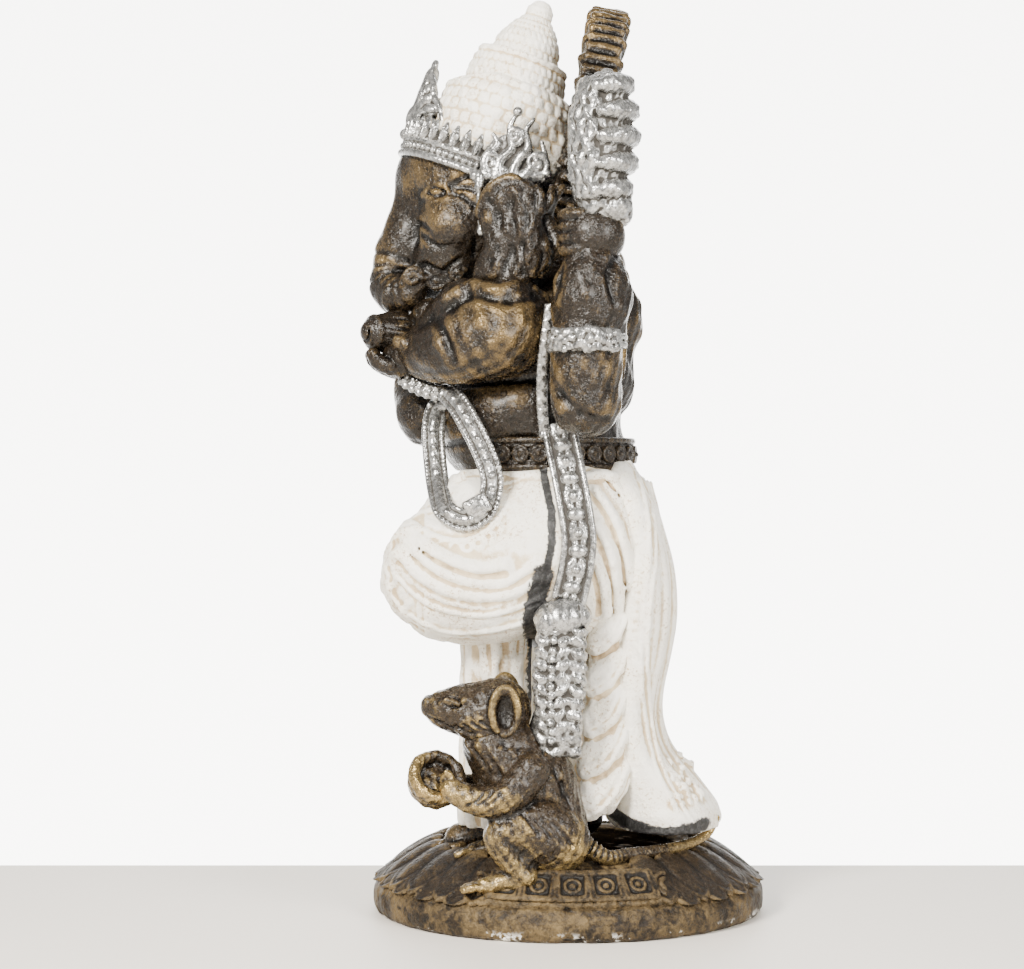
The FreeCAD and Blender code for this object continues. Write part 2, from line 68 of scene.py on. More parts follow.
def turned(turn):
    """The matrix of a turn given as degrees about X, then Y, then Z."""
    (a, i), (b, j), (c, k) = ((cos(radians(t)), sin(radians(t))) for t in turn)
    return vec([[c, -k, 0], [k, c, 0], [0, 0, 1]]) @ vec([[b, 0, j], [0, 1, 0], [-j, 0, b]]) @ vec([[1, 0, 0],
                                                                                                    [0, a, -i],
                                                                                                    [0, i, a]])


def local(x, y, z, centre, m):
    dx, dy, dz = x - centre[0], y - centre[1], z - centre[2]
    return tuple(dx * m[0, i] + dy * m[1, i] + dz * m[2, i] for i in range(3))


def ball(c, r):
    c = vec(c)

    def distance(x, y, z):
        return np.sqrt((x - c[0]) ** 2 + (y - c[1]) ** 2 + (z - c[2]) ** 2) - r

    return c - r, c + r, distance


def egg(c, radii, turn=(0, 0, 0)):
    c, r, m = vec(c), vec(radii), turned(turn)
    reach = np.sqrt((m ** 2) @ (r ** 2))

    def distance(x, y, z):
        u, v, w = local(x, y, z, c, m)
        u, v, w = u / r[0], v / r[1], w / r[2]
        k = np.sqrt(u * u + v * v + w * w) + 1e-6
        g = np.sqrt((u / r[0]) ** 2 + (v / r[1]) ** 2 + (w / r[2]) ** 2) + 1e-6
        return k * (k - 1) / g

    return c - reach, c + reach, distance


def slab(c, half, turn=(0, 0, 0), soft=1.0):
    """A rounded box."""
    return plank(c, turned(turn).T, half, soft)


def hoop(c, radius, thick, turn=(0, 0, 0), wide=None, squash=1.0):
    """A ring about the local Z: thick across, wide along the axis; squash scales it along local Y."""
    c, m = vec(c), turned(turn)
    wide = wide or thick
    reach = np.full(3, radius * max(1, squash) + max(thick, wide))

    def distance(x, y, z):
        u, v, w = local(x, y, z, c, m)
        ring = (np.sqrt(u * u + (v / squash) ** 2) - radius) / thick
        return (np.sqrt(ring ** 2 + (w / wide) ** 2) - 1) * min(thick, wide)

    return c - reach, c + reach, distance


def limb(a, b, ra, rb=None):
    a, b = vec(a), vec(b)
    rb = ra if rb is None else rb
    r = max(ra, rb)
    ab = b - a
    length2 = max(float(ab @ ab), 1e-6)

    def distance(x, y, z):
        dx, dy, dz = x - a[0], y - a[1], z - a[2]
        h = np.clip((dx * ab[0] + dy * ab[1] + dz * ab[2]) / length2, 0, 1)
        gap = np.sqrt((dx - h * ab[0]) ** 2 + (dy - h * ab[1]) ** 2 + (dz - h * ab[2]) ** 2)
        return gap - (ra + h * (rb - ra))

    return np.minimum(a, b) - r, np.maximum(a, b) + r, distance


def smooth(points, count=6):
    """A Catmull-Rom curve through the points, with count steps in each span."""
    p = vec(points)
    p = np.vstack([2 * p[0] - p[1], p, 2 * p[-1] - p[-2]])
    out = []
    for i in range(1, len(p) - 2):
        for t in np.arange(count) / count:
            a = 2 * p[i]
            b = p[i + 1] - p[i - 1]
            c = 2 * p[i - 1] - 5 * p[i] + 4 * p[i + 1] - p[i + 2]
            d = -p[i - 1] + 3 * p[i] - 3 * p[i + 1] + p[i + 2]
            out.append((a + b * t + c * t * t + d * t ** 3) / 2)
    out.append(p[-2])
    return np.array(out)


def even(points, spacing):
    """Points along a polyline at an even spacing."""
    p = vec(points)
    run = np.concatenate([[0], np.cumsum(np.linalg.norm(np.diff(p, axis=0), axis=1))])
    marks = np.linspace(0, run[-1], max(int(round(run[-1] / spacing)), 1) + 1)
    return np.stack([np.interp(marks, run, p[:, i]) for i in range(p.shape[1])], 1)


def tapered(line, radii):
    """A round rope along a line; radii is one number, or some that are spread along it."""
    if np.isscalar(radii):
        r = np.full(len(line), float(radii))
    else:
        r = np.interp(np.linspace(0, 1, len(line)), np.linspace(0, 1, len(radii)), radii)
    return [limb(line[i], line[i + 1], r[i], r[i + 1]) for i in range(len(line) - 1)]


def strand(points, radii, count=5):
    """A round rope through the points; radii is one number, or one for each point."""
    return tapered(smooth(points, count), radii)


def rope(line, radius):
    """A round rope of one thickness along a line."""
    return [limb(a, b, radius) for a, b in zip(line[:-1], line[1:])]


def strap(points, width, thick, across, count=4, soft=0.8):
    """A flat band through the points; its width lies along across."""
    line = smooth(points, count)
    pieces = []
    for a, b in zip(line[:-1], line[1:]):
        t = unit(b - a)
        n = unit(np.cross(t, vec(across)))
        half = (width / 2, thick / 2, np.linalg.norm(b - a) / 2 + 0.3)
        pieces.append(plank((a + b) / 2, (np.cross(n, t), n, t), half, soft))
    return pieces


def plank(c, axes, half, soft=0.8):
    """A rounded box on three given axes."""
    c, m, h = vec(c), np.array(axes).T, vec(half)
    soft = min(soft, *half)
    reach = np.abs(m) @ h

    def distance(x, y, z):
        q = [np.abs(t) - (h[i] - soft) for i, t in enumerate(local(x, y, z, c, m))]
        out = np.sqrt(sum(np.maximum(t, 0) ** 2 for t in q))
        return out + np.minimum(np.maximum(np.maximum(q[0], q[1]), q[2]), 0) - soft

    return c - reach, c + reach, distance


def lathe(c, profile, turn=(0, 0, 0)):
    """Turns a closed (radius, height) outline about the local Z."""
    c, m = vec(c), turned(turn)
    p = vec(profile)
    r = p[:, 0].max()
    top = max(abs(p[:, 1].max()), abs(p[:, 1].min()))
    reach = np.abs(m) @ vec([r, r, top])

    def distance(x, y, z):
        u, v, w = local(x, y, z, c, m)
        rho = np.sqrt(u * u + v * v)
        w = w + 0 * rho
        best = np.full(rho.shape, 1e6, np.float32)
        inside = np.zeros(rho.shape, bool)
        for (r1, z1), (r2, z2) in zip(p, np.roll(p, -1, 0)):
            dr, dz = r2 - r1, z2 - z1
            t = np.clip(((rho - r1) * dr + (w - z1) * dz) / (dr * dr + dz * dz + 1e-9), 0, 1)
            best = np.minimum(best, (rho - r1 - t * dr) ** 2 + (w - z1 - t * dz) ** 2)
            if dz:
                cross = (z1 > w) != (z2 > w)
                inside ^= cross & (rho < r1 + (w - z1) * dr / dz)
        gap = np.sqrt(best)
        return np.where(inside, -gap, gap)

    return c - reach, c + reach, distance


def beads(points, radius, spacing):
    return [ball(p, radius) for p in even(points, spacing)]


def circle(count, shift=0.0):
    """The angles of count even steps round a circle."""
    return [2 * pi * (i + shift) / count for i in range(count)]


def flank(x, pairs):
    """Points at one x, from (y, z) pairs."""
    return [(x, y, z) for y, z in pairs]


def unit(v):
    return v / np.linalg.norm(v)


def soft_min(a, b, k):
    h = np.maximum(k - np.abs(a - b), 0) / k
    return np.minimum(a, b) - h * h * k * 0.25


class Clay:
    def __init__(self, low, high, step):
        self.step = step * COARSE
        self.low = vec(low) - 4 * self.step
        count = np.ceil((vec(high) + 4 * self.step - self.low) / self.step).astype(int)
        self.axes = [(self.low[i] + self.step * np.arange(count[i])).astype(np.float32) for i in range(3)]
        self.d = np.full(count, FAR, np.float32)

    def window(self, low, high):
        spans = []
        for i in range(3):
            a = int(np.clip((low[i] - self.low[i]) / self.step, 0, self.d.shape[i]))
            b = int(np.clip((high[i] - self.low[i]) / self.step + 2, a, self.d.shape[i]))
            spans.append(slice(a, b))
        return tuple(spans)

    def grid(self, spans):
        x, y, z = (self.axes[i][spans[i]] for i in range(3))
        return x[:, None, None], y[None, :, None], z[None, None, :]

    def gather(self, forms, margin):
        """The plain union of forms: the window they reach, and their distance in it."""
        forms = forms if isinstance(forms, list) else [forms]
        low = np.min([f[0] for f in forms], 0) - margin
        high = np.max([f[1] for f in forms], 0) + margin
        spans = self.window(low, high)
        near = np.full([s.stop - s.start for s in spans], FAR, np.float32)
        if near.size == 0:
            return spans, near
        for low, high, distance in forms:
            part = self.window(low - margin, high + margin)
            part = tuple(slice(max(p.start, s.start), min(p.stop, s.stop)) for p, s in zip(part, spans))
            if any(p.stop <= p.start for p in part):
                continue
            inner = tuple(slice(p.start - s.start, p.stop - s.start) for p, s in zip(part, spans))
            near[inner] = np.minimum(near[inner], distance(*self.grid(part)))
        return spans, near

    def join(self, forms, blend=1.0):
        spans, near = self.gather(forms, 2 * blend + 3 * self.step)
        self.d[spans] = soft_min(self.d[spans], near, blend)
        return self

    def carve(self, forms, blend=0.6):
        spans, near = self.gather(forms, 2 * blend + 3 * self.step)
        self.d[spans] = -soft_min(-self.d[spans], near, blend)
        return self

    def keep(self, form):
        """Only what lies inside the form stays."""
        self.d = np.maximum(self.d, form[2](*self.grid([slice(0, n) for n in self.d.shape])))
        return self

    def swell(self, push, low=None, high=None):
        """Moves the surface outwards by push(x, y, z) millimetres."""
        spans = self.window(self.low if low is None else low, np.full(3, 1e4) if high is None else high)
        self.d[spans] -= push(*self.grid(spans))
        return self

    def sample(self, p):
        at = [np.clip(np.rint((p[:, i] - self.low[i]) / self.step).astype(int), 0,
                      self.d.shape[i] - 1) for i in range(3)]
        return self.d[at[0], at[1], at[2]]

    def reach(self, points, direction):
        """Moves each point along direction until it meets the surface; says which ones did."""
        p = vec(points)
        direction = vec(direction)
        direction = np.broadcast_to(direction / np.linalg.norm(direction, axis=-1, keepdims=True), p.shape)
        done = np.zeros(len(p), bool)
        hit = p.copy()
        at = p.copy()
        for _ in range(int(160 / self.step)):
            inside = self.sample(at) < 0
            fresh = inside & ~done
            hit[fresh] = at[fresh]
            done |= inside
            if done.all():
                break
            at = at + direction * self.step * 0.7
        return hit, done

    def land(self, points, direction):
        """Where the points that meet the surface meet it."""
        hit, done = self.reach(points, direction)
        return hit[done]

    def trace(self, points, direction, count=6):
        """A smooth line through the points, moved along direction on to the surface."""
        return self.land(smooth(points, count), direction)

    def fold(self, line, radius, blend, drop, groove, groove_blend):
        """A raised line, with a groove beside it."""
        self.join(rope(line, radius), blend)
        self.carve(rope(line + vec(drop), groove), groove_blend)

    def eggs(self, *rows):
        """Joins eggs, each given as centre, radii, blend and perhaps its turn."""
        for c, radii, blend, *turn in rows:
            self.join(egg(c, radii, *turn), blend)

    def skin(self):
        """Surface nets: vertices in millimetres and quads, closed at the walls of the block."""
        d = self.d.copy()
        for axis in range(3):
            for layer in (0, 1, -2, -1):
                wall = [slice(None)] * 3
                wall[axis] = layer
                d[tuple(wall)] = np.maximum(d[tuple(wall)], 0.5 * self.step)
        inside = d < 0
        cells = [n - 1 for n in d.shape]
        corner = [(i, j, k) for i in (0, 1) for j in (0, 1) for k in (0, 1)]
        some = np.zeros(cells, bool)
        every = np.ones(cells, bool)
        for i, j, k in corner:
            c = inside[i:i + cells[0], j:j + cells[1], k:k + cells[2]]
            some |= c
            every &= c
        at = np.argwhere(some & ~every)
        value = {c: d[at[:, 0] + c[0], at[:, 1] + c[1], at[:, 2] + c[2]] for c in corner}
        total = np.zeros((len(at), 3))
        count = np.zeros(len(at))
        for a in corner:
            for axis in range(3):
                if a[axis]:
                    continue
                b = tuple(1 if n == axis else a[n] for n in range(3))
                crossing = (value[a] < 0) != (value[b] < 0)
                span = np.where(crossing, value[a] - value[b], 1)
                t = np.where(crossing, value[a] / span, 0)
                point = np.array(a, float) + np.eye(3)[axis] * t[:, None]
                total += point * crossing[:, None]
                count += crossing
        points = (at + total / count[:, None]) * self.step + self.low
        number = np.full(cells, -1, np.int64)
        number[at[:, 0], at[:, 1], at[:, 2]] = np.arange(len(at))
        quads = []
        for axis in range(3):
            u, v = (axis + 1) % 3, (axis + 2) % 3
            a = [slice(1, n - 1) for n in d.shape]
            b = list(a)
            a[axis] = slice(0, d.shape[axis] - 1)
            b[axis] = slice(1, d.shape[axis])
            one, two = inside[tuple(a)], inside[tuple(b)]
            for flag, flip in ((one & ~two, False), (~one & two, True)):
                e = np.argwhere(flag)
                e[:, u] += 1
                e[:, v] += 1
                ring = []
                for du, dv in ((-1, -1), (0, -1), (0, 0), (-1, 0)):
                    c = e.copy()
                    c[:, u] += du
                    c[:, v] += dv
                    ring.append(number[c[:, 0], c[:, 1], c[:, 2]])
                quad = np.stack(ring[::-1] if flip else ring, 1)
                quads.append(quad)
        quads = np.concatenate(quads)
        return points, quads[(quads >= 0).all(1)]


def edges_of(quads):
    e = np.concatenate([quads[:, [i, (i + 1) % 4]] for i in range(4)])
    return np.concatenate([e, e[:, ::-1]])


def averaged(values, edges, count):
    """The mean of each vertex's neighbours."""
    n = len(count)
    return np.stack([np.bincount(edges[:, 0], values[edges[:, 1], i], n) for i in range(values.shape[1])],
                    1) / count[:, None]


def islands_dropped(points, quads, edges, least=0.004):
    """Leaves out loose crumbs smaller than a share of the piece."""
    label = np.arange(len(points))
    for _ in range(400):
        new = label.copy()
        np.minimum.at(new, edges[:, 0], label[edges[:, 1]])
        new = new[new]
        new = new[new]
        if (new == label).all():
            break
        label = new
    size = np.bincount(label, minlength=len(points))
    good = size[label] > least * len(points)
    renumber = np.cumsum(good) - 1
    return points[good], renumber[quads[good[quads].all(1)]]


def normals_of(points, quads):
    a, b, c, d = (points[quads[:, i]] for i in range(4))
    face = np.cross(c - a, d - b)
    n = np.stack([np.bincount(quads.ravel(), np.repeat(face[:, i], 4), len(points)) for i in range(3)], 1)
    return n / (np.linalg.norm(n, axis=1, keepdims=True) + 1e-9)


def relief(points, quads, edges, count, rounds):
    """How far each vertex stands proud of its smoothed surroundings, in millimetres."""
    flat = points
    for _ in range(rounds):
        flat = averaged(flat, edges, count)
    return ((points - flat) * normals_of(points, quads)).sum(1)


def piece(name, clay, look, *nodes, painted_shadow=None):
    """Skins the clay as a mesh piece that stands for CAD nodes; the painted-shadow function, if given, says
    where black shadow is painted on it.
    """
    points, quads = clay.skin()
    points, quads = islands_dropped(points, quads, edges_of(quads))
    edges = edges_of(quads)
    count = np.bincount(edges[:, 0], minlength=len(points)).astype(float)
    for step in (SHRINK, SWELL_BACK) * SMOOTH_ROUNDS:
        points = points + (averaged(points, edges, count) - points) * step
    fine = relief(points, quads, edges, count, max(int(FINE_RELIEF / COARSE), 2))
    broad = relief(points, quads, edges, count, int(BROAD_RELIEF / COARSE))
    mesh = bpy.data.meshes.new(name)
    mesh.vertices.add(len(points))
    mesh.vertices.foreach_set("co", (points * MM).astype(np.float32).ravel())
    mesh.loops.add(len(quads) * 4)
    mesh.loops.foreach_set("vertex_index", quads.astype(np.int32).ravel())
    mesh.polygons.add(len(quads))
    mesh.polygons.foreach_set("loop_start", np.arange(0, len(quads) * 4, 4, dtype=np.int32))
    mesh.polygons.foreach_set("use_smooth", np.ones(len(quads), bool))
    # painted shadow: 1 where black shadow is painted on the piece, kept as a point attribute
    black = painted_shadow(points) if painted_shadow else np.zeros(len(points))
    for key, value in (("fine", fine), ("broad", broad), ("painted_shadow", black)):
        layer = mesh.attributes.new(key, "FLOAT", "POINT")
        layer.data.foreach_set("value", value.astype(np.float32))
    mesh.update()
    mesh.validate()
    obj = bpy.data.objects.new(name, mesh)
    bpy.context.scene.collection.objects.link(obj)
    mesh.materials.append(LOOKS[look])
    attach(obj, "root")
    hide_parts(*nodes)
    print(f"piece {name}: {len(points)} vertices, {len(quads)} quads")
    return obj


def wobble(amount, size, seed=0.0):
    """A gentle uneven swelling, like hand-worked clay."""
    f = 2 * pi / size

    def push(x, y, z):
        a = np.sin(f * x + 1.3 + seed) * np.sin(f * 0.9 * y + 0.4 * seed) * np.sin(f * 1.1 * z + 2.1)
        b = np.sin(f * 1.9 * (x + 0.6 * z) + seed) * np.sin(f * 2.1 * (y - 0.4 * x) + 0.7)
        return (amount * (a + 0.5 * b)).astype(np.float32)

    return push


def painted_shadow_lines(lines, side=1):
    """Painted shadow along (y, z) lines on one flank of the figure: 1 on a line, 0 at its reach in millimetres.
    """
    def black(points):
        flat = points[:, 1:3]
        most = np.zeros(len(points))
        for line, reach in lines:
            line = vec(line)
            gap = np.full(len(points), 1e6)
            for a, b in zip(line[:-1], line[1:]):
                ab = b - a
                t = np.clip(((flat - a) @ ab) / (ab @ ab), 0, 1)
                gap = np.minimum(gap, np.linalg.norm(flat - a - t[:, None] * ab, axis=1))
            most = np.maximum(most, np.clip(1 - gap / reach, 0, 1))
        return most * (points[:, 0] * side > 0)

    return black


# ------------------------------------------------------------------ looks
class Value:
    """The output of a shader node, which can be reckoned with like a number."""

    def __init__(self, look, socket):
        self.look, self.socket = look, socket

    def math(self, operation, a, b):
        return self.look.node("Math", {0: a, 1: b}, operation=operation)

    def __add__(self, other):
        return self.math("ADD", self, other)

    def __sub__(self, other):
        return self.math("SUBTRACT", self, other)

    def __rsub__(self, other):
        return self.math("SUBTRACT", other, self)

    def __mul__(self, other):
        return self.math("MULTIPLY", self, other)

    def capped(self):
        return self.math("MINIMUM", self, 1.0)

    def fade(self, low, high):
        """0 at low, 1 at high, smooth between."""
        ends = {"Value": self, "From Min": low, "From Max": high}
        return self.look.node("MapRange", ends, "Result", interpolation_type="SMOOTHSTEP")


class Look:
    """A material built from nodes."""

    def __init__(self, name):
        self.material = bpy.data.materials.new(name)
        self.material.use_nodes = True
        self.tree = self.material.node_tree
        self.tree.nodes.clear()
        self.place = self.node("TexCoord", out="Object")

    def node(self, kind, inputs=None, out=0, **settings):
        n = self.tree.nodes.new("ShaderNode" + kind)
        for key, value in settings.items():
            setattr(n, key, value)
        for key, value in (inputs or {}).items():
            if isinstance(value, Value):
                self.tree.links.new(value.socket, n.inputs[key])
            else:
                n.inputs[key].default_value = value
        return Value(self, n.outputs[out])

    def noise(self, size_mm, detail=3.0, rough=0.5, distort=0.0):
        return self.node("TexNoise", {"Vector": self.place, "Scale": 1000.0 / size_mm, "Detail": detail,
                                      "Roughness": rough, "Distortion": distort}, "Fac")

    def proud(self, fine):
        """How far the surface stands proud of what is round it, with a share of fine relief."""
        return self.given("broad") + self.given("fine") * fine

    def given(self, key):
        return self.node("Attribute", out="Fac", attribute_name=key)

    def height(self):
        """Height above the shelf, in metres."""
        return self.node("SeparateXYZ", {0: self.place}, "Z")

    def mix(self, factor, a, b):
        a, b = (c if isinstance(c, Value) else (*c, 1) for c in (a, b))
        return self.node("Mix", {"Factor": factor, 6: a, 7: b}, 2, data_type="RGBA")

    def blend(self, factor, a, b):
        return self.node("Mix", {0: factor, 2: a, 3: b}, data_type="FLOAT")

    # ambient occlusion, which the looks below use to paint shade into colour where nearby surfaces hide the
    # surface
    def occlusion_shade(self, reach_mm):
        return self.node("AmbientOcclusion", {"Distance": reach_mm * MM}, "AO", samples=6, inside=False)

    def finish(self, colour, metal, rough, bumps, coat=0.0, shine=0.5):
        """bumps is a list of (height, depth in millimetres)."""
        inputs = {"Base Color": colour, "Metallic": metal, "Roughness": rough, "Specular IOR Level": shine,
                  "Coat Weight": coat, "Coat Roughness": 0.22}
        for height, depth in bumps:
            bump = {"Strength": 1.0, "Distance": depth * MM, "Height": height}
            if "Normal" in inputs:
                bump["Normal"] = inputs["Normal"]
            inputs["Normal"] = self.node("Bump", bump, "Normal")
        self.node_out(self.node("BsdfPrincipled", inputs))
        return self.material

    def node_out(self, surface):
        out = self.tree.nodes.new("ShaderNodeOutputMaterial")
        self.tree.links.new(surface.socket, out.inputs["Surface"])


def metal_paint(name, dark, mid, gold, gold_amount, shine):
    """Dark paint rubbed with metallic paint where the casting stands proud."""
    look = Look(name)
    patches = look.noise(38, 1, 0.5, 0.6)
    streaks = look.noise(1.5, 5, 0.7, 0.5)
    specks = look.noise(0.7, 3, 0.65)
    level = look.proud(2.4)
    want = level.fade(-0.12, 0.9) * 0.42 + patches.fade(0.4, 0.7) * 0.5 + (streaks - 0.5) * 0.8
    glitter = specks.fade(0.52, 0.7) * want.fade(0.15, 0.7)
    rub = (want.fade(0.34, 1.15) * gold_amount + glitter * (gold_amount * 0.5)).capped()
    colour = look.mix(rub, look.mix(streaks.fade(0.3, 0.72), dark, mid), gold)
    colour = look.mix(level.fade(-0.03, -0.55) * 0.9, colour, tuple(c * 0.35 for c in dark))
    rough = look.blend(streaks.fade(0.3, 0.7), shine, shine + 0.18)
    bumps = [(look.noise(3.8, 3, 0.6), 1.4), (look.noise(1.1, 3, 0.6), 0.35)]
    return look.finish(colour, (rub * 1.3).capped(), rough, bumps, 0.12, 0.25)


def silver_paint():
    """Silver paint worn off in the hollows, down to the dark casting, with shade painted near black in its
    crevices.
    """
    look = Look("silver_paint_look")
    streaks = look.noise(2.0, 5, 0.7, 0.3)
    specks = look.noise(0.7, 2, 0.6)
    bare = (look.proud(4.0) + (streaks - 0.5) * 1.1).fade(-0.78, -0.06)
    colour = look.mix(streaks.fade(0.35, 0.7), (0.2, 0.2, 0.198), (0.56, 0.56, 0.55))
    colour = look.mix(bare, (0.025, 0.022, 0.018), colour)
    # painted shade: near black where ambient occlusion shows the surface hidden by nearby surfaces
    colour = look.mix(look.occlusion_shade(4.5).fade(0.55, 0.2) * 0.9, colour, (0.02, 0.018, 0.015))
    rough = look.blend(bare, 0.7, look.blend(streaks.fade(0.3, 0.75), 0.18, 0.34))
    return look.finish(colour, bare * 0.85, rough, [(look.noise(2.4, 3), 0.35), (specks, 0.08)], 0.0, 0.4)


def white_paint():
    """White paint, stained tan and brown in its folds, with shade painted dark brown in its crevices and black
    shadow painted along given lines.
    """
    look = Look("white_paint_look")
    patches = look.noise(12, 4, 0.6)
    streaks = look.noise(2.4, 6, 0.75, 0.6)
    specks = look.noise(1.1, 4, 0.7)
    level = look.proud(2.6) + (streaks - 0.5) * 1.3
    stain = level.fade(0.06, -0.5)
    colour = look.mix(patches.fade(0.35, 0.7), (0.94, 0.91, 0.83), (0.91, 0.865, 0.75))
    tan = look.mix(patches.fade(0.3, 0.7), (0.66, 0.53, 0.32), (0.46, 0.32, 0.16))
    # the black of the painted shadow
    shadow_tone = look.mix(streaks.fade(0.45, 0.7), (0.008, 0.008, 0.008), (0.06, 0.06, 0.062))
    for factor, tone in (
        (stain * 0.85, tan),
        (level.fade(-1.0, -2.2) * 0.65, (0.2, 0.13, 0.07)),
        (specks.fade(0.53, 0.64) * patches.fade(0.42, 0.58) * 0.8, (0.42, 0.28, 0.14)),
        # painted shade: dark brown where ambient occlusion shows the surface hidden by nearby surfaces
        (look.occlusion_shade(6).fade(0.38, 0.1) * 0.75, (0.1, 0.07, 0.045)),
        # painted shadow: black along the given lines, with a ragged edge
        ((look.given("painted_shadow") + (streaks - 0.5) * 0.9).fade(0.34, 0.5), shadow_tone),
    ):
        colour = look.mix(factor, colour, tone)
    return look.finish(colour, 0.0, look.blend(stain, 0.48, 0.75),
                       [(look.noise(3.2, 4, 0.6), 0.9), (specks, 0.45)])


def base_paint(name, shine):
    """The same paint as the body, with white plaster bare at the chipped bottom edge."""
    look = Look(name)
    patches = look.noise(26, 4, 0.6, 0.6)
    streaks = look.noise(3.0, 6, 0.75, 0.6)
    level = look.proud(2.6)
    want = level.fade(-0.1, 0.6) * 0.5 + patches.fade(0.4, 0.7) * 0.4 + (streaks - 0.5) * 1.5
    want = want - look.height().fade(0.0125, 0.010) * 0.1
    rub = want.fade(0.3, 1.1) * 0.8
    ground = look.mix(streaks.fade(0.3, 0.7), (0.006, 0.0045, 0.003), (0.024, 0.0155, 0.008))
    colour = look.mix(rub, ground, (0.17, 0.118, 0.054))
    colour = look.mix(level.fade(-0.03, -0.5) * 0.9, colour, (0.006, 0.005, 0.004))
    chips = look.height().fade(0.0045, 0.0008) * look.noise(9, 5, 0.7).fade(0.56, 0.62)
    colour = look.mix(chips, colour, (0.85, 0.83, 0.78))
    bumps = [(look.noise(3.0, 4, 0.6), 1.2), (look.noise(0.9, 3), 0.35)]
    rough = look.blend(streaks.fade(0.3, 0.7), 0.38, 0.6)
    return look.finish(colour, rub * 0.35 * (1.0 - chips), rough, bumps, 0.0, shine)


def steel():
    look = Look("steel_look")
    grain = look.noise(0.6, 2)
    return look.finish(look.mix(grain, (0.3, 0.3, 0.3), (0.45, 0.44, 0.42)), 0.9, 0.45, [(grain, 0.05)])


BLACK_BROWN = (0.004, 0.003, 0.002)
LOOKS = {
    "bronze": metal_paint("bronze_paint_look", BLACK_BROWN, (0.015, 0.0098, 0.0054), (0.25, 0.17, 0.075), 0.72,
                          0.16),
    "belt": metal_paint("belt_paint_look", BLACK_BROWN, (0.018, 0.0115, 0.006), (0.45, 0.32, 0.15), 0.35, 0.2),
    "mouse": metal_paint("mouse_paint_look", (0.006, 0.004, 0.0025), (0.03, 0.0195, 0.0098), (0.42, 0.3, 0.125),
                         0.95, 0.17),
    "silver": silver_paint(),
    "white": white_paint(),
    "base": base_paint("base_paint_look", 0.2),
    "deck": base_paint("deck_paint_look", 0.0),
}
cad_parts["armature_rods"].data.materials.clear()
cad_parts["armature_rods"].data.materials.append(steel())


# ------------------------------------------------------------------ pieces
def clay_of(*nodes, step, grow):
    """A block of clay space that covers CAD nodes, with some room round them."""
    lows, highs = zip(*(corners(n) for n in nodes))
    return Clay(np.min(lows, 0) - grow, np.max(highs, 0) + grow, step)


def around(radius, angle, z):
    return (radius * cos(angle), radius * sin(angle), z)


DECK_Z = corners("base_deck")[1][2]
BASE_R = corners("base_band")[1][0]
BAND_Z = corners("base_band")[1][2]
RIM_Z = corners("lotus_ring")[1][2]
SLOPE_RUN = 21                 # how far in the petals' slope runs, in millimetres
SLOPE = degrees(atan2(RIM_Z - BAND_Z, SLOPE_RUN))
TILES, TILE_STEP, TILE_LEAN = 5, 10.5, 43
PETALS, CHIPS, RIM_BEADS = 30, 26, 150


def base_band():
    clay = clay_of("base_band", step=0.8, grow=1)
    profile = [(0, 0), (BASE_R - 2, 0), (BASE_R - 0.6, 1.2), (BASE_R, 4.5), (BASE_R - 0.3, 8.5),
               (BASE_R - 2.2, 11.6),
               (BASE_R - 4, BAND_Z), (0, BAND_Z)]
    clay.join(lathe((0, 0, 0), profile))
    clay.swell(wobble(0.28, 17), (-80, -80, 0.9))
    clay.swell(wobble(0.18, 5.5, 2), (-80, -80, 0.9))
    for _ in range(CHIPS):
        a = random.uniform(0, 2 * pi)
        r = random.uniform(0.9, 2.3)
        clay.carve(egg(around(BASE_R + 0.3, a, 0.2), (r * 1.6, r * 1.6, r)), 0.4)
    clay.keep(slab((0, 0, 50), (90, 90, 50), soft=0.1))
    piece("base_band_casting", clay, "base", "base_band")


def side_of_tiles(angle_deg):
    half = TILES * TILE_STEP / 2 + 3
    return min(abs((angle_deg + 180) % 360 - 180), abs(angle_deg % 360 - 180)) < half


def lotus_ring():
    clay = clay_of("lotus_ring", step=0.7, grow=2)
    inner = corners("base_deck")[1][0] - 1
    profile = [(inner, BAND_Z - 1), (BASE_R - 3.5, BAND_Z - 1), (BASE_R - 4, BAND_Z + 1.5),
               (BASE_R - 8, BAND_Z + 4),
               (inner + 8, RIM_Z - 1.8), (inner + 4, RIM_Z - 0.3), (inner + 1, RIM_Z - 1)]
    clay.join(lathe((0, 0, 0), profile))
    clay.swell(wobble(0.25, 13, 1))
    for a in circle(RIM_BEADS):
        clay.join(ball(around(BASE_R - 4.2, a, BAND_Z + 1.2), 1.25 + 0.2 * sin(5 * a)), 0.8)
    piece("lotus_ring_casting", clay, "base", "lotus_ring")


def petal(clay, angle_deg, length, width, reach, z, thick=2.5):
    """A smooth leaf on the slope with a raised edge, its tip outwards."""
    a = radians(angle_deg)
    lean = radians(SLOPE)
    out = vec([cos(a) * cos(lean), sin(a) * cos(lean), -sin(lean)])
    side = vec([-sin(a), cos(a), 0])
    up = np.cross(out, side)
    c = np.array(around(reach, a, z))
    clay.join(egg(c, (length / 2, width / 2, thick), (0, SLOPE, angle_deg)), 0.25)
    for s in (-1, 1):
        edge = [c - out * length * 0.3 + side * s * width * 0.4 + up * thick * 0.2,
                c + out * length * 0.1 + side * s * width * 0.46 + up * thick * 0.2,
                c + out * length * 0.38 + side * s * width * 0.28 + up * thick * 0.25,
                c + out * length * 0.51 + up * 0.6]
        clay.join(strand(edge, [0.5, 0.9, 1.1, 1.0], 4), 0.9)


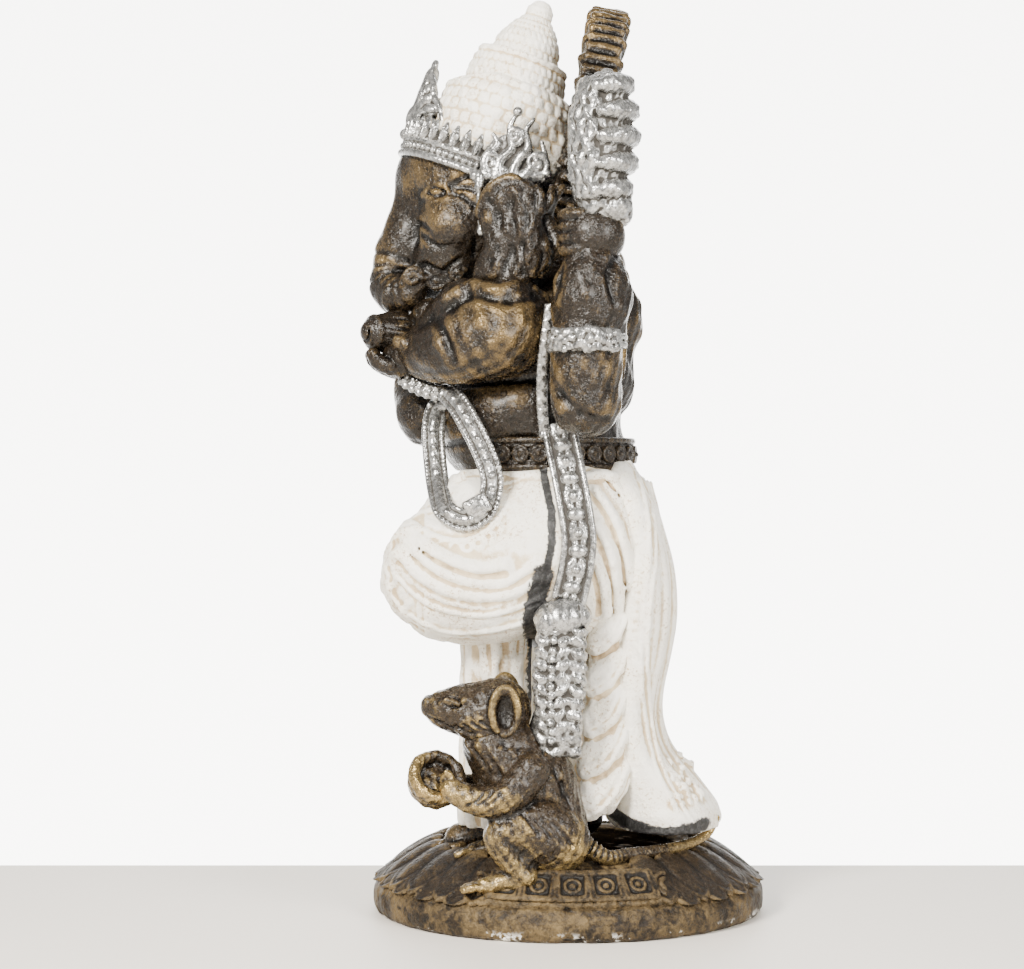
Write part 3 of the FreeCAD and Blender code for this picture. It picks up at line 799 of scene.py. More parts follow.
def lotus_petals():
    clay = clay_of("lotus_petals", step=0.5, grow=3)
    middle_r = BASE_R - 15.5
    middle_z = (BAND_Z + RIM_Z) / 2
    for i in range(PETALS):
        angle = 360 * (i + 0.5) / PETALS
        if side_of_tiles(angle):
            continue
        skew = random.uniform(-3, 3)
        petal(clay, angle + 180 / PETALS, 20, 11, middle_r + 7.0, middle_z - 3.4, 2.2)
        petal(clay, angle + skew * 0.3, 28 + skew * 0.5, 14.5, middle_r + 1.0, middle_z + 0.8, 3.0)
    clay.keep(lathe((0, 0, 0), [(40, BAND_Z - 0.5), (BASE_R + 1, BAND_Z - 0.5), (BASE_R + 1, 32), (40, 32)]))
    piece("lotus_petal_ring", clay, "base", "lotus_petals")


def tile_panels():
    clay = clay_of("tile_panels", step=0.45, grow=3)
    for flank in (0, 180):
        for i in range(TILES):
            angle = flank + (i - (TILES - 1) / 2) * TILE_STEP
            a = radians(angle)
            c = np.array(around(BASE_R - 9.5, a, BAND_Z + 6.4))
            tilt = (0, TILE_LEAN, angle)
            m = turned(tilt)
            out, side, up = m[:, 2], m[:, 1], m[:, 0]
            clay.join(slab(c, (6.3, 6.0, 1.9), tilt, 1.2), 0.3)
            clay.carve(slab(c + out * 1.9, (4.6, 4.4, 1.3), tilt, 1.6), 0.5)
            clay.join(hoop(c + out * 0.8, 2.7, 0.75, tilt), 0.4)
            clay.join(egg(c + out * 0.8, (1.2, 1.2, 1.1), tilt), 0.3)
            for s in (-1, 1):
                clay.join(limb(c + side * 6.3 * s - up * 5.5 + out, c + side * 6.3 * s + up * 5.5 + out, 0.9),
                          0.4)
                clay.join(limb(c + side * 5.6 + up * 6.2 * s + out, c - side * 5.6 + up * 6.2 * s + out, 0.8),
                          0.4)
        for s in (-1, 1):
            a = radians(flank + s * (TILES / 2 * TILE_STEP + 5))
            c = np.array(around(BASE_R - 9, a, BAND_Z + 6))
            m = turned((0, TILE_LEAN, degrees(a)))
            curl = []
            for t in np.linspace(0, 4.2 * pi, 26):
                r = 0.8 + 0.4 * t
                curl.append(c + m[:, 0] * r * cos(t) + m[:, 1] * r * s * sin(t) + m[:, 2] * 0.8)
            clay.join(strand(curl, 0.95, 2), 0.5)
    piece("side_tile_panels", clay, "base", "tile_panels")


def base_deck():
    clay = clay_of("base_deck", step=0.8, grow=2)
    r = corners("base_deck")[1][0]
    profile = [(0, BAND_Z - 1), (r + 1, BAND_Z - 1), (r + 1, DECK_Z + 1.4), (r - 3, DECK_Z + 1.2),
               (r - 6, DECK_Z), (0, DECK_Z - 0.3)]
    clay.join(lathe((0, 0, 0), profile))
    clay.swell(wobble(0.35, 19, 4), (-60, -60, 16))
    piece("base_deck_casting", clay, "deck", "base_deck")


# ---- dress
def hem(clay, points, thick=0.9, groove=0.5):
    """A raised fold laid on the near flank, with a fine groove under it."""
    line = even(clay.trace(points, INWARDS, 8), 2.0)
    clay.join(rope(line, thick), thick * 1.5)
    if groove:
        clay.carve(rope(line - vec([0, 0, thick * 1.5]), groove), groove * 1.4)


def dhoti():
    clay = clay_of("hip_wrap", "left_thigh", step=0.65, grow=4)
    clay.eggs(
        ((0, -3, 152), (40, 31, 28), 4), ((0, 3, 126), (38, 30, 28), 12), ((0, 6, 112), (33, 25, 12), 8),
        ((-12, -8, 140), (27, 28, 30), 10), ((22, -4, 140), (27, 30, 31), 10),
              ((29, -30, 135), (23, 27, 27), 10),
        ((32, -48, 130), (19.5, 22, 22), 10), ((25, -38, 148), (19, 14, 18), 8),
              ((30, -30, 118), (18, 27, 12), 8))
    clay.swell(wobble(0.5, 46))
    x = 70
    for thick, groove, pairs in (
        (0.9, 0.35, [(-66, 141), (-65, 132), (-60, 125), (-52, 119), (-42, 116), (-32, 115), (-22, 117),
                     (-12, 121)]),
        (0.6, 0.25, [(-64, 143), (-62, 134), (-57, 127.5), (-50, 122), (-41, 119), (-32, 118), (-22, 120),
                     (-12, 125)]),
        (1.0, 0.4, [(-67.5, 131), (-65, 121), (-57, 113.5), (-47, 109), (-37, 108.5), (-28, 109.5),
                    (-17, 112)]),
        (0.6, 0.25, [(-68, 127), (-63, 117), (-55, 110.5), (-46, 107.2), (-36, 106.8)]),
    ):
        hem(clay, flank(x, pairs), thick, groove)
    for pairs in (
        [(-62, 145), (-57, 138), (-48, 131), (-36, 127), (-24, 127), (-13, 133)],
        [(-60, 148), (-54, 141), (-45, 135.5), (-34, 132), (-24, 133)],
        [(-63, 137), (-57, 130), (-46, 124), (-33, 121.5), (-20, 123), (-12, 128)],
    ):
        clay.fold(clay.trace(flank(x, pairs), INWARDS, 8), 1.2, 4.5, (1.4, 0, -2.6), 0.3, 2.4)
    lace = flank(x, [(-58, 149), (-52, 145), (-44, 142.5), (-36, 143), (-29, 147), (-25, 153)])
    lace = clay.land(even(smooth(lace, 6), 4.2), INWARDS)
    clay.join(strand(lace, 0.9, 2), 0.6)
    for p in lace:
        clay.join(hoop(p + vec([0.7, 0, -2.4]), 1.7, 0.85, (0, 80, 0)), 0.4)
    hem(clay, flank(x, [(-50, 164), (-46, 167), (-42, 165), (-36, 167), (-26, 168), (-20, 170), (-14, 171),
                        (-8, 169)]), 1.3, 0)
    hem(clay, flank(x, [(4, 165), (11, 167), (17, 165), (24, 166)]), 1.2, 0)
    for pairs in ([(9, 160), (16, 150), (21, 136), (23, 118)], [(9, 148), (14, 138), (17, 126), (18, 114)],
                  [(14, 166), (21, 157), (27, 143), (29, 126)], [(9, 134), (12, 125), (13, 115)]):
        clay.fold(clay.trace(flank(x, pairs), INWARDS, 8), 1.2, 3.5, (1.5, -2.4, 0), 0.3, 2.4)
    for z, drop in ((158, 6), (148, 8), (138, 9), (128, 10), (118, 10)):
        pairs = [(-24, z), (-8, z - drop * 0.6), (8, z - drop), (22, z - drop * 0.7)]
        clay.fold(clay.trace(flank(-x, pairs), OUTWARDS, 8), 1.1, 3, (-1.2, 0, -2.4), 0.3, 2.2)
    for z, drop in ((160, 8), (152, 13), (143, 18), (133, 21), (123, 22)):
        points = [(-33, -x, z - 2), (-22, -x, z - drop * 0.55), (-12, -x, z - drop * 0.9), (-3, -x, z - drop)]
        clay.fold(clay.trace(points, BACKWARDS, 8), 1.2, 3, (0, -1.2, -2.4), 0.3, 2.2)
    for z, drop in ((158, 9), (150, 14), (141, 18), (132, 20), (123, 18)):
        points = [(46, -85, z - 3), (38, -85, z - drop * 0.6), (30, -85, z - drop), (22, -85, z - drop * 0.9)]
        clay.join(rope(clay.trace(points, BACKWARDS, 8), 0.5), 1.8)
    turn = np.linspace(0, 2 * pi, 90)
    ring = clay.land([around(80, t, 168 - 2 * cos(t)) for t in turn], [(-cos(t), -sin(t), 0) for t in turn])
    clay.join(rope(ring, 1.3), 1.5)
    edge_of_sash = [(-11, 178), (-9.5, 165), (-7.2, 153), (-7, 142), (-9, 131), (-12, 121), (-12, 108)]
    under_thigh = [(-10, 130), (-12.5, 122), (-14.5, 113), (-13, 104)]
    # painted shadow: black beside the edge of the sash and under the thigh, on the left flank
    painted_shadow = painted_shadow_lines([(edge_of_sash, 2.6), (under_thigh, 6.5)])
    piece("dress_hips_and_thigh", clay, "white", "hip_wrap", "left_thigh", painted_shadow=painted_shadow)
    return clay


def pleated_leg(name, node, slim=1.0, back=0.0, painted_shadow=None):
    """A straight fall of pleats over the shin, open at the ankle."""
    low, high = corners(node)
    c = (low + high) / 2 + vec([0, back, 0])
    clay = Clay(low - 4, high + 4, 0.55)
    r = ((high[0] - low[0]) / 2 - 1.5) * slim
    clay.join(limb((c[0], c[1], high[2] + 2), (c[0], c[1], low[2] + 8), r * 1.02, r * 0.88), 1)
    clay.join(limb((c[0], c[1] + 1, low[2] + 16), (c[0], c[1] + 1, low[2] + 3), r * 0.9, r * 0.94), 6)
    count = 13
    for i in range(count):
        t = 2 * pi * (i + 0.3 * sin(2.3 * i)) / count
        sway = 0.22 * sin(1.7 * i)
        points = [(c[0] + (r + 0.2) * cos(t - sway), c[1] + (r + 0.2) * sin(t - sway), high[2]),
                  (c[0] + (r - 0.6) * cos(t + sway), c[1] + (r - 0.6) * sin(t + sway), c[2]),
                  (c[0] + r * cos(t + 0.12), c[1] + r * sin(t + 0.12), low[2] + 1)]
        clay.join(strand(points, [1.5, 2.0, 2.5], 5), 1.4)
    clay.swell(wobble(0.4, 14))
    clay.keep(slab((c[0], c[1], (low[2] + high[2]) / 2 + 2), (40, 40, (high[2] - low[2]) / 2 + 3), soft=1))
    piece(name, clay, "white", node, painted_shadow=painted_shadow)


def back_drape():
    """The tail of cloth that falls behind the legs and spreads at the hem."""
    clay = clay_of("back_drape", step=0.65, grow=4)
    spine = [(168, 18, 27, 5), (158, 22, 32, 8), (146, 25, 34, 10), (130, 27, 36, 12), (112, 26.5, 36, 13),
             (95, 24, 35, 12.5), (80, 21.5, 34, 12), (64, 23, 33.5, 13), (50, 30, 34, 16), (40, 35, 34.5, 18.5),
             (35, 37, 35, 19)]
    levels = smooth(spine, 5)
    for z, y, half, deep in levels:
        clay.join(egg((0, y, z), (half, deep, 5.5)), 5)
    folds = 13
    for i in range(folds):
        t = pi * (i + 0.5) / folds
        points = []
        for k, (z, y, half, deep) in enumerate(levels[::4]):
            a = t + 0.05 * sin(2.1 * i + 0.8 * k)
            points.append(((half - 0.2) * cos(a), y + (deep - 0.2) * sin(a), z))
        big = 1 + 0.3 * sin(3.3 * i + 1)
        radii = [0.2, 0.9 * big, 1.8 * big, 2.3 * big, 2.5 * big, 2.6 * big, 2.9 * big, 3.2]
        clay.join(strand(points, radii, 3), 1.5)
    for i in range(6):
        t = pi * (i + 1) / 7
        hang = [((30 - 6 * k) * cos(t), 22 + 1.5 * k + (10 - 1.0 * k) * sin(t), 164 - 9 * k) for k in range(3)]
        clay.join(strand(hang, [0.5, 1.6, 0.6], 4), 2.5)
    border = [(26, 165), (29, 149), (29, 134), (27, 119), (26, 100), (27, 82), (31, 60), (38, 45), (44, 36)]
    for s in (-1, 1):
        for dy, r in ((0, 0.9), (2.6, 0.7)):
            pairs = [(21 + dy * 0.6, 174)] + [(y + dy, z) for y, z in border]
            line = even(clay.trace(flank(s * 80, pairs), (-s, 0, 0)), 1.6)
            clay.join(rope(line, r), 0.9)
            if dy == 0:
                clay.join(beads(line, r * 1.05, 2.3), 0.4)
    hem_line = []
    for i in range(61):
        t = pi * i / 60
        wave = 2.2 * sin(19 * t)
        hem_line.append(((36 + wave * 0.4) * cos(t), 37 + (19 + wave * 0.5) * sin(t), 35 + 1.2 * sin(11 * t)))
    clay.join(strand(hem_line, 1.7, 2), 1.8)
    for _ in range(150):
        s = random.choice((-1, 1))
        spot = (s * 80, random.uniform(37, 50), random.uniform(44, 60))
        crumbs = [ball(p, random.uniform(0.7, 1.3)) for p in clay.land([spot], (-s, 0, 0))]
        if crumbs:
            clay.join(crumbs, 0.6)
    clay.carve(egg((0, 30, 30), (30, 14, 8)), 3)
    clay.keep(slab((0, 20, 104), (60, 60, 71), soft=0.5))
    # painted shadow: black along the bottom of the hem, on the left flank
    black_hem = [(16, 39), (24, 35.5), (32, 33.5), (40, 34), (50, 36)]
    piece("dress_back_fall", clay, "white", "back_drape", painted_shadow=painted_shadow_lines([(black_hem, 4.6)]))


def side_cascade(side):
    """Long leaf-shaped folds of cloth, one under the other, that lean forwards."""
    node = SIDES[side] + "_side_pleats"
    low, high = corners(node)
    clay = Clay(low - 5, high + 6, 0.5)
    x = side * 31.5
    spine = [(x - side * 5, 14, high[2] + 2), (x - side * 2, 14, 100), (x - side * 1, 13.5, 84),
             (x - side * 1, 13, 60),
             (x - side * 3, 13, 44)]
    clay.join(strand(spine, [3, 6.5, 8, 8.5, 5], 4), 2)
    steep = radians(50)
    along, down = vec([0, cos(steep), sin(steep)]), vec([0, sin(steep), -cos(steep)])
    for i in range(5):
        size = 1.0 - 0.07 * i
        c = vec([x + side * (3.6 - 0.5 * i), 12.0 + 0.5 * i, 50 + 14.4 * i])
        clay.join(egg(c, (5.6, 14.5 * size, 8.0 * size), (50, side * -12, 0)), 0.7)
        for far, radius, work in ((7.6, 0.8, clay.carve), (4.6, 0.8, clay.join), (1.0, 0.6, clay.join)):
            ridge = [c + along * s * size + down * (far - 0.022 * s * s) * size for s in (-12, -7, 0, 7, 12)]
            line = clay.trace([(side * 80, p[1], p[2]) for p in ridge], (-side, 0, 0), 5)
            if len(line) > 3:
                work(rope(line, radius), 1.2)
    clay.swell(wobble(0.3, 12))
    piece("dress_cascade_" + SIDES[side], clay, "white", node)


def front_pleats():
    """The gathered end of the dress between the legs: a fall of cloth whose edges step from side to side."""
    clay = clay_of("front_pleats", step=0.5, grow=6)
    sheet = [(-3, -33, 160), (-3, -36, 140), (-4, -32, 112), (-5, -27, 84), (-5, -26, 52)]
    clay.join(strap(sheet, 15, 6, OUTWARDS, 4, 2), 1)
    for x in (-10.5, -6.5, -2.5, 1.5, 5.0):
        fall = [(x * 0.7, -36.5, 160), (x, -38.5, 138), (x - 1, -35, 112), (x - 1.5, -30.5, 84),
                (x - 2, -29.5, 52)]
        clay.join(strand(fall, [1.2, 1.7, 2.0, 2.1, 2.3], 5), 1.6)
    for i in range(6):
        z = 148 - i * 17
        y = -36.5 + max(0, (140 - z)) * 0.1
        w = 9 + i * 0.6
        for s in (-1, 1):
            edge = [(-4 + s * 1.5, y - 2.0, z + 10), (-4 + s * w * 0.6, y - 2.2, z + 3),
                    (-4 + s * w, y - 0.5, z - 6),
                    (-4 + s * w * 0.8, y - 1, z - 9)]
            clay.join(strand(edge, [0.8, 2.2, 2.4, 1.0], 5), 2.4)
    clay.swell(wobble(0.35, 13))
    piece("dress_front_fall", clay, "white", "front_pleats")


# ---- body
def foot(name, node):
    low, high = corners(node)
    c = (low + high) / 2
    clay = Clay(low - 3, high + 3, 0.45)
    clay.join(strand([(c[0], high[1] - 6, DECK_Z + 9), (c[0], c[1] + 2, DECK_Z + 7.5),
                      (c[0], c[1] - 8, DECK_Z + 5)], [8, 8, 6.4]), 1)
    for i in range(5):
        x = c[0] + (i - 2) * 3.4
        tip = low[1] + 2.4 + abs(i - 1.6) * 1.1
        r = 2.5 if i == 2 else 2.1
        clay.join(strand([(x * 0.4 + c[0] * 0.6, c[1] - 6, DECK_Z + 4.6), (x, tip + 4, DECK_Z + 3.2),
                          (x, tip, DECK_Z + 2.6)], [3, 2.2, r]), 0.8)
        clay.carve(egg((x, tip - 1.6, DECK_Z + 4.0), (1.3, 1.2, 0.6)), 0.3)
    clay.join(hoop((c[0], high[1] - 9, DECK_Z + 12), 8.5, 1.2, (8, 0, 0)), 0.6)
    clay.keep(slab((c[0], c[1], DECK_Z + 15.2), (40, 40, 15), soft=0.1))
    piece(name, clay, "bronze", node)


def torso():
    clay = clay_of("torso", step=0.65, grow=4)
    clay.eggs(((0, -14, 192), (36.5, 35, 25), 1), ((0, -6, 214), (35, 25, 23), 9),
              ((0, -8, 175), (35.5, 31, 14), 8),
              ((6, -30, 184), (24, 18.5, 21), 8))
    clay.join(limb((-27, 1, 228), (27, 1, 228), 13.5), 7)
    clay.join(limb((0, -6, 232), (0, -18, 252), 19, 17), 8)
    for s in (-1, 1):
        clay.eggs(((s * 16, -21, 218), (16, 14, 13), 5), ((s * 14, -28, 232), (16, 16, 12), 6))
    clay.swell(wobble(0.45, 30))
    navel = clay.land([(2, -80, 189)], BACKWARDS)[0]
    clay.carve(egg(navel, (1.7, 1.6, 1.5)), 2.0)
    front = np.linspace(pi * 1.12, pi * 1.88, 40)
    for z, depth in ((181, 0.9), (203, 0.8)):
        crease = clay.land([around(70, t, z + 3 * sin(t)) for t in front],
                           [(-cos(t), -sin(t), 0) for t in front])
        clay.carve(rope(crease, depth), 2.2)
    backbone = clay.land([(0, 60, z) for z in np.linspace(232, 184, 24)], (0, -1, 0))
    clay.carve(rope(backbone, 1.4), 4)
    chain = [(x, -70, z) for x, z in ((-30, 226), (-24, 214), (-13, 205), (0, 201), (13, 205), (24, 214),
                                      (30, 226))]
    line = even(clay.trace(chain, BACKWARDS, 8), 2.6)
    clay.join(rope(line, 1.1), 0.8)
    clay.join([ball(p + vec([0, -0.8, 0]), 1.5) for p in line], 0.4)
    for p in line[3:-3:3]:
        clay.join(egg(p + vec([0, -0.6, -3.0]), (1.2, 1.2, 2.2)), 0.4)
    clay.keep(slab((0, 0, 214), (80, 80, 46), soft=0.5))
    piece("torso_casting", clay, "bronze", "torso")
    return clay


def belt():
    clay = clay_of("waist_belt", step=0.5, grow=3)
    low, high = corners("waist_belt")
    c = (low + high) / 2
    a, b = (high[0] - low[0]) / 2, (high[1] - low[1]) / 2
    for dz, r in ((-5.0, 1.3), (-2.9, 0.7), (2.9, 0.7), (5.0, 1.3)):
        clay.join(hoop(c + vec([0, 0, dz]), a - 0.8, r, squash=b / a), 0.3)
    clay.join(hoop(c, a - 3.0, 2.4, wide=6.3, squash=b / a), 0.6)
    piece("waist_belt_band", clay, "belt", "waist_belt")


def belt_medallions():
    clay = clay_of("belt_medallions", step=0.42, grow=2)
    low, high = corners("waist_belt")
    c = (low + high) / 2
    a, b = (high[0] - low[0]) / 2 - 0.2, (high[1] - low[1]) / 2 - 0.2
    for t in circle(30, 0.5):
        p = vec([c[0] + a * cos(t), c[1] + b * sin(t), c[2]])
        out = degrees(atan2(a * sin(t), b * cos(t)))
        tilt = (0, 90, out)
        clay.join(egg(p, (3.5, 3.5, 1.2), tilt), 0.3)
        clay.join(hoop(p + 0.6 * turned(tilt)[:, 2], 2.8, 0.62, tilt), 0.3)
        clay.join(ball(p + 0.9 * turned(tilt)[:, 2], 1.05), 0.2)
    piece("belt_medallion_row", clay, "belt", "belt_medallions")


def head():
    """Elephant head with its domed brow, cheeks and small eyes; the trunk's root grows out of it."""
    clay = clay_of("head", "trunk", step=0.55, grow=4)
    clay.join(egg((0, -32, 269), (30, 27, 30)), 1)
    for s in (-1, 1):
        clay.eggs(((s * 11, -41, 284), (15, 17, 14), 8), ((s * 18.5, -42, 262), (10.5, 14, 12.5), 6),
                  ((s * 14, -46, 249), (11, 12, 10), 6))
    clay.eggs(((0, -40, 243), (20, 17, 11), 5), ((0, -54, 246), (13, 12, 12), 5),
              ((0, -52, 280), (15, 13, 15), 8))
    trunk_line = [(0, -50, 282), (0, -55, 269), (0, -60.5, 258), (0.5, -65, 248.5), (2.5, -67, 240),
                  (8, -65, 235.5),
                  (13, -60.5, 235.5), (15.5, -57.5, 239)]
    trunk_radii = [15, 13, 11.6, 10.4, 9.4, 8.2, 6.2, 4.8]
    clay.join(strand(trunk_line, trunk_radii, 6), 4)
    clay.join(egg((15.8, -58.5, 240.5), (4.6, 5.4, 5.4)), 2)
    clay.swell(wobble(0.4, 21))
    line = smooth(trunk_line, 8)
    for i in range(24, len(line) - 6, 4):
        t = unit(line[i + 1] - line[i - 1])
        r = np.interp(i / len(line), np.linspace(0, 1, 8), trunk_radii)
        u = unit(np.cross(t, (1, 0, 0.01)))
        v = np.cross(t, u)
        ring = [line[i] + (u * cos(a) + v * sin(a)) * (r + 0.25) for a in np.linspace(-2.3, 2.3, 18)]
        clay.carve(rope(ring, 0.2), 1.8)
    for k in range(3):
        r = 4.6 - 1.4 * k
        curl = [(17.5 + 0.7 * k, -59 + r * cos(a), 240.5 + r * sin(a)) for a in np.linspace(0, 2 * pi, 16)]
        clay.carve(strand(curl, 0.4, 1), 0.5)
    for s in (-1, 1):
        toward = (-s, 0, 0)

        def crease(pairs, radius, blend, work=clay.carve, count=6):
            work(rope(clay.trace(flank(s * 60, pairs), toward, count), radius), blend)

        clay.carve(egg((s * 24.8, -50.0, 273.0), (2.6, 4.2, 1.9), (-8, 0, -s * 20)), 2.0)
        clay.join(egg((s * 23.0, -49.9, 272.9), (2.0, 2.7, 1.35), (-8, 0, -s * 20)), 0.4)
        for z0, z1, z2 in ((272.5, 275.3, 273.5), (272, 270.8, 272.6)):
            crease([(-55.5, z0), (-50.5, z1), (-45, z2), (-41, z2 - 1.0)], 0.45, 1.4, clay.join)
        for dz in (-3.5, 0.0, 3.5):
            crease([(-44.5, 273.5 + dz * 0.5), (-40, 274 + dz), (-36, 273 + dz * 1.7)], 0.22, 2.4, count=5)
        for pairs in ([(-57, 262), (-51, 258), (-46, 259)], [(-56, 257), (-49, 252.5), (-43, 254)],
                      [(-40, 262), (-36, 256), (-36, 249)], [(-52, 286), (-45, 288), (-39, 286)]):
            crease(pairs, 0.35, 2.2)
        clay.join(egg((s * 25, -43, 260), (5, 8, 6.5)), 4)
        crease([(-61, 243), (-55, 246), (-48, 243), (-42, 247)], 0.9, 1.6)
        crease([(-58, 240.5), (-52, 241), (-46, 239), (-41, 243)], 1.4, 1.2, clay.join)
    for s in (-1, 1):
        for y, z, r, turns in ((-59, 241, 3.6, 1.3), (-50.5, 240.5, 4.2, -1.3), (-42, 242, 3.4, 1.2)):
            for c in clay.land([(s * 60, y, z)], (-s, 0, 0)):
                scroll(clay, c + vec([-s * 0.4, 0, 0]), (vec((0, 1, 0)), vec(UP)), 0.5, turns, r, 0.8, 1.1)
    piece("elephant_head_and_trunk", clay, "bronze", "head", "trunk")


def tusks():
    clay = clay_of("tusks", step=0.35, grow=8)
    clay.join(strand([(14, -48, 247), (17, -54, 242), (18, -58, 236)], [3.2, 2.6, 1.0]), 0.3)
    clay.join(strand([(-14, -48, 247), (-17, -54, 242)], [3.2, 2.7]), 0.3)
    for s in (-1, 1):
        clay.join(hoop((s * 15.5, -51, 244.5), 3.2, 0.7, (-35, s * 30, 0)), 0.3)
    clay.keep(slab((0, -50, 242), (40, 14, 8), soft=0.3))
    piece("tusk_pair", clay, "bronze", "tusks")


def ear(side):
    """A wide ear: a rounded lobe with a soft hollow, a lower flap, and wavy locks behind it."""
    node = SIDES[side] + "_ear"
    low, high = corners(node)
    clay = Clay(low - 5, high + 5, 0.45)

    def at(x, y, z):
        return (side * x, y, z)

    clay.eggs((at(40.5, -22.5, 264), (7.0, 12.5, 13.5), 1, (0, 0, -side * 22)),
              (at(41.5, -20, 251), (6.0, 11.5, 12), 6, (0, 0, -side * 18)),
              (at(39, -25, 242), (6, 11.5, 9), 5, (0, 0, -side * 18)))
    clay.carve(egg(at(48.5, -26, 262), (4.5, 5.5, 9), (14, 0, 0)), 4)
    clay.carve(egg(at(47.5, -24, 247), (3.2, 4.0, 7), (-10, 0, 0)), 4)
    for k, (x0, y0) in enumerate(((45.5, -12.5), (44, -9.0), (42, -5.5))):
        lock = [at(x0 + 0.8 * sin(2.0 * i), y0 + 2.4 * sin(1.5 * i + k) - 0.5 * i,
                   272 - 5.4 * i) for i in range(7)]
        clay.join(strand(lock, [1.2, 2.2, 2.5, 2.3, 2.5, 2.1, 1.2], 4), 0.5)
    clay.swell(wobble(0.45, 12))
    for work, radii, blend, pairs in (
        (clay.join, [0.8, 1.3, 1.5, 0.8], 2.2,
         [(-34, 254), (-34.5, 263), (-30, 272), (-22, 275.5), (-14.5, 271)]),
        (clay.join, [0.6, 1.4, 1.4, 0.6], 3.0, [(-26, 268), (-23, 260), (-24, 250), (-28, 240)]),
        (clay.carve, [0.4, 0.6, 0.6, 0.3], 2.2, [(-18, 268), (-16, 260), (-18, 250), (-17, 240)]),
    ):
        work(tapered(clay.trace(flank(side * 80, pairs), (-side, 0, 0)), radii), blend)
    piece(SIDES[side] + "_ear_flap", clay, "bronze", node)


def hair_locks():
    """Long wavy locks that hang side by side down the back under the halo."""
    clay = clay_of("hair_locks", step=0.5, grow=4)
    clay.join(strand([(0, 2, 266), (0, 6, 250), (0, 9, 232), (0, 11, 216)], [10, 9, 7.5, 4], 5), 1)
    for i in range(9):
        off = abs(i - 4)
        drop = off * 3.4 + 2.5 * (i % 2)
        points = []
        for t in (k / 9 for k in range(10)):
            x = (i - 4) * 5.0 * (1 - 0.35 * t * t) + 1.9 * sin(7.5 * t + 1.9 * i)
            points.append((x, 7 + 14 * sin(min(1, t * 1.25) * pi / 2) - off * 1.9, 268 - t * (64 - drop)))
        clay.join(strand(points, [2.4, 2.7, 2.6, 2.6, 2.4, 2.3, 2.2, 1.9, 1.5, 0.8], 4), 0.5)
    piece("hair_locks_back", clay, "bronze", "hair_locks")


def halo():
    clay = clay_of("halo", step=0.65, grow=3)
    low, high = corners("halo")
    lean = radians(11)
    t = 14.0
    radius = (high[0] - low[0]) / 2
    centre = vec([0, (low[1] + high[1]) / 2, high[2] - radius * cos(lean) - t / 2 * sin(lean)])
    tilt = (90 - degrees(lean), 0, 0)
    m = turned(tilt)
    half = [(0, 5.0), (radius * 0.55, 5.0), (radius * 0.62, 6.2), (radius - 3, t / 2),
            (radius - 0.8, t / 2 - 1.2)]
    clay.join(lathe(centre, [(r, -z) for r, z in half] + half[::-1], tilt))

    def ray(a):
        return m[:, 0] * cos(a) + m[:, 1] * sin(a)

    for i, a in enumerate(circle(54)):
        e = ray(a)
        if (centre + e * radius)[2] < low[2] - 6:
            continue
        p = centre + e * (radius - 0.6)
        clay.join(limb(p + m[:, 2] * (t / 2 - 1.2), p - m[:, 2] * (t / 2 - 1.2), 1.3), 1.8)
        for f in (-1, 1):
            inner = centre + e * radius * 0.66 + m[:, 2] * f * 6.2
            outer = centre + e * (radius - 2.5) + m[:, 2] * f * (t / 2)
            if i % 2 == 0:
                clay.join(limb(inner, outer, 0.9, 1.6), 0.8)
            else:
                clay.carve(limb(inner, outer, 0.6), 0.8)
    for f in (-1, 1):
        clay.join(hoop(centre + m[:, 2] * f * 5.4, radius * 0.6, 1.3, tilt), 0.8)
        clay.join(hoop(centre + m[:, 2] * f * 5.0, radius * 0.36, 1.0, tilt), 0.8)
        for a in circle(14):
            clay.join(egg(centre + ray(a) * radius * 0.47 + m[:, 2] * f * 5.0, (3.6, 3.6, 1.3), tilt), 0.5)
    clay.swell(wobble(0.25, 15))
    clay.keep(slab((0, 0, (low[2] + high[2]) / 2 + 3), (80, 80, (high[2] - low[2]) / 2 + 3), soft=0.1))
    piece("halo_disc", clay, "bronze", "halo")


# ---- arms and what they hold
def front_left_arm():
    clay = clay_of("front_left_arm", step=0.55, grow=5)
    arm = [(32, -14, 226), (39, -21, 221), (41, -27, 218), (37, -39, 214), (29, -49, 212), (21, -56, 212.5)]
    clay.join(strand(arm, [10, 12.5, 15.5, 14, 11, 9.5], 6), 1)
    clay.eggs(((40, -25, 222), (13, 15.5, 16.5), 5, (10, 0, 0)), ((30, -35, 229), (14, 15, 11), 5),
              ((20, -47, 222), (12, 10, 12), 5))
    clay.swell(wobble(0.6, 17, 1))
    for work, radius, blend, pairs in (
        (clay.join, 1.0, 4.5, [(-46, 232), (-37, 236.5), (-27, 234), (-17, 236.5), (-10, 232)]),
        (clay.carve, 0.35, 4.0, [(-45, 228), (-35, 232), (-25, 229.5), (-13, 231.5)]),
        (clay.carve, 0.35, 4.0, [(-50, 224), (-46, 217), (-43, 208)]),
    ):
        work(rope(clay.trace(flank(80, pairs), INWARDS, 8), radius), blend)
    piece("front_left_arm_casting", clay, "bronze", "front_left_arm")
    return clay


def finger(clay, points, radii):
    """One finger through its joints."""
    clay.join(strand(points, radii, 4), 0.7)


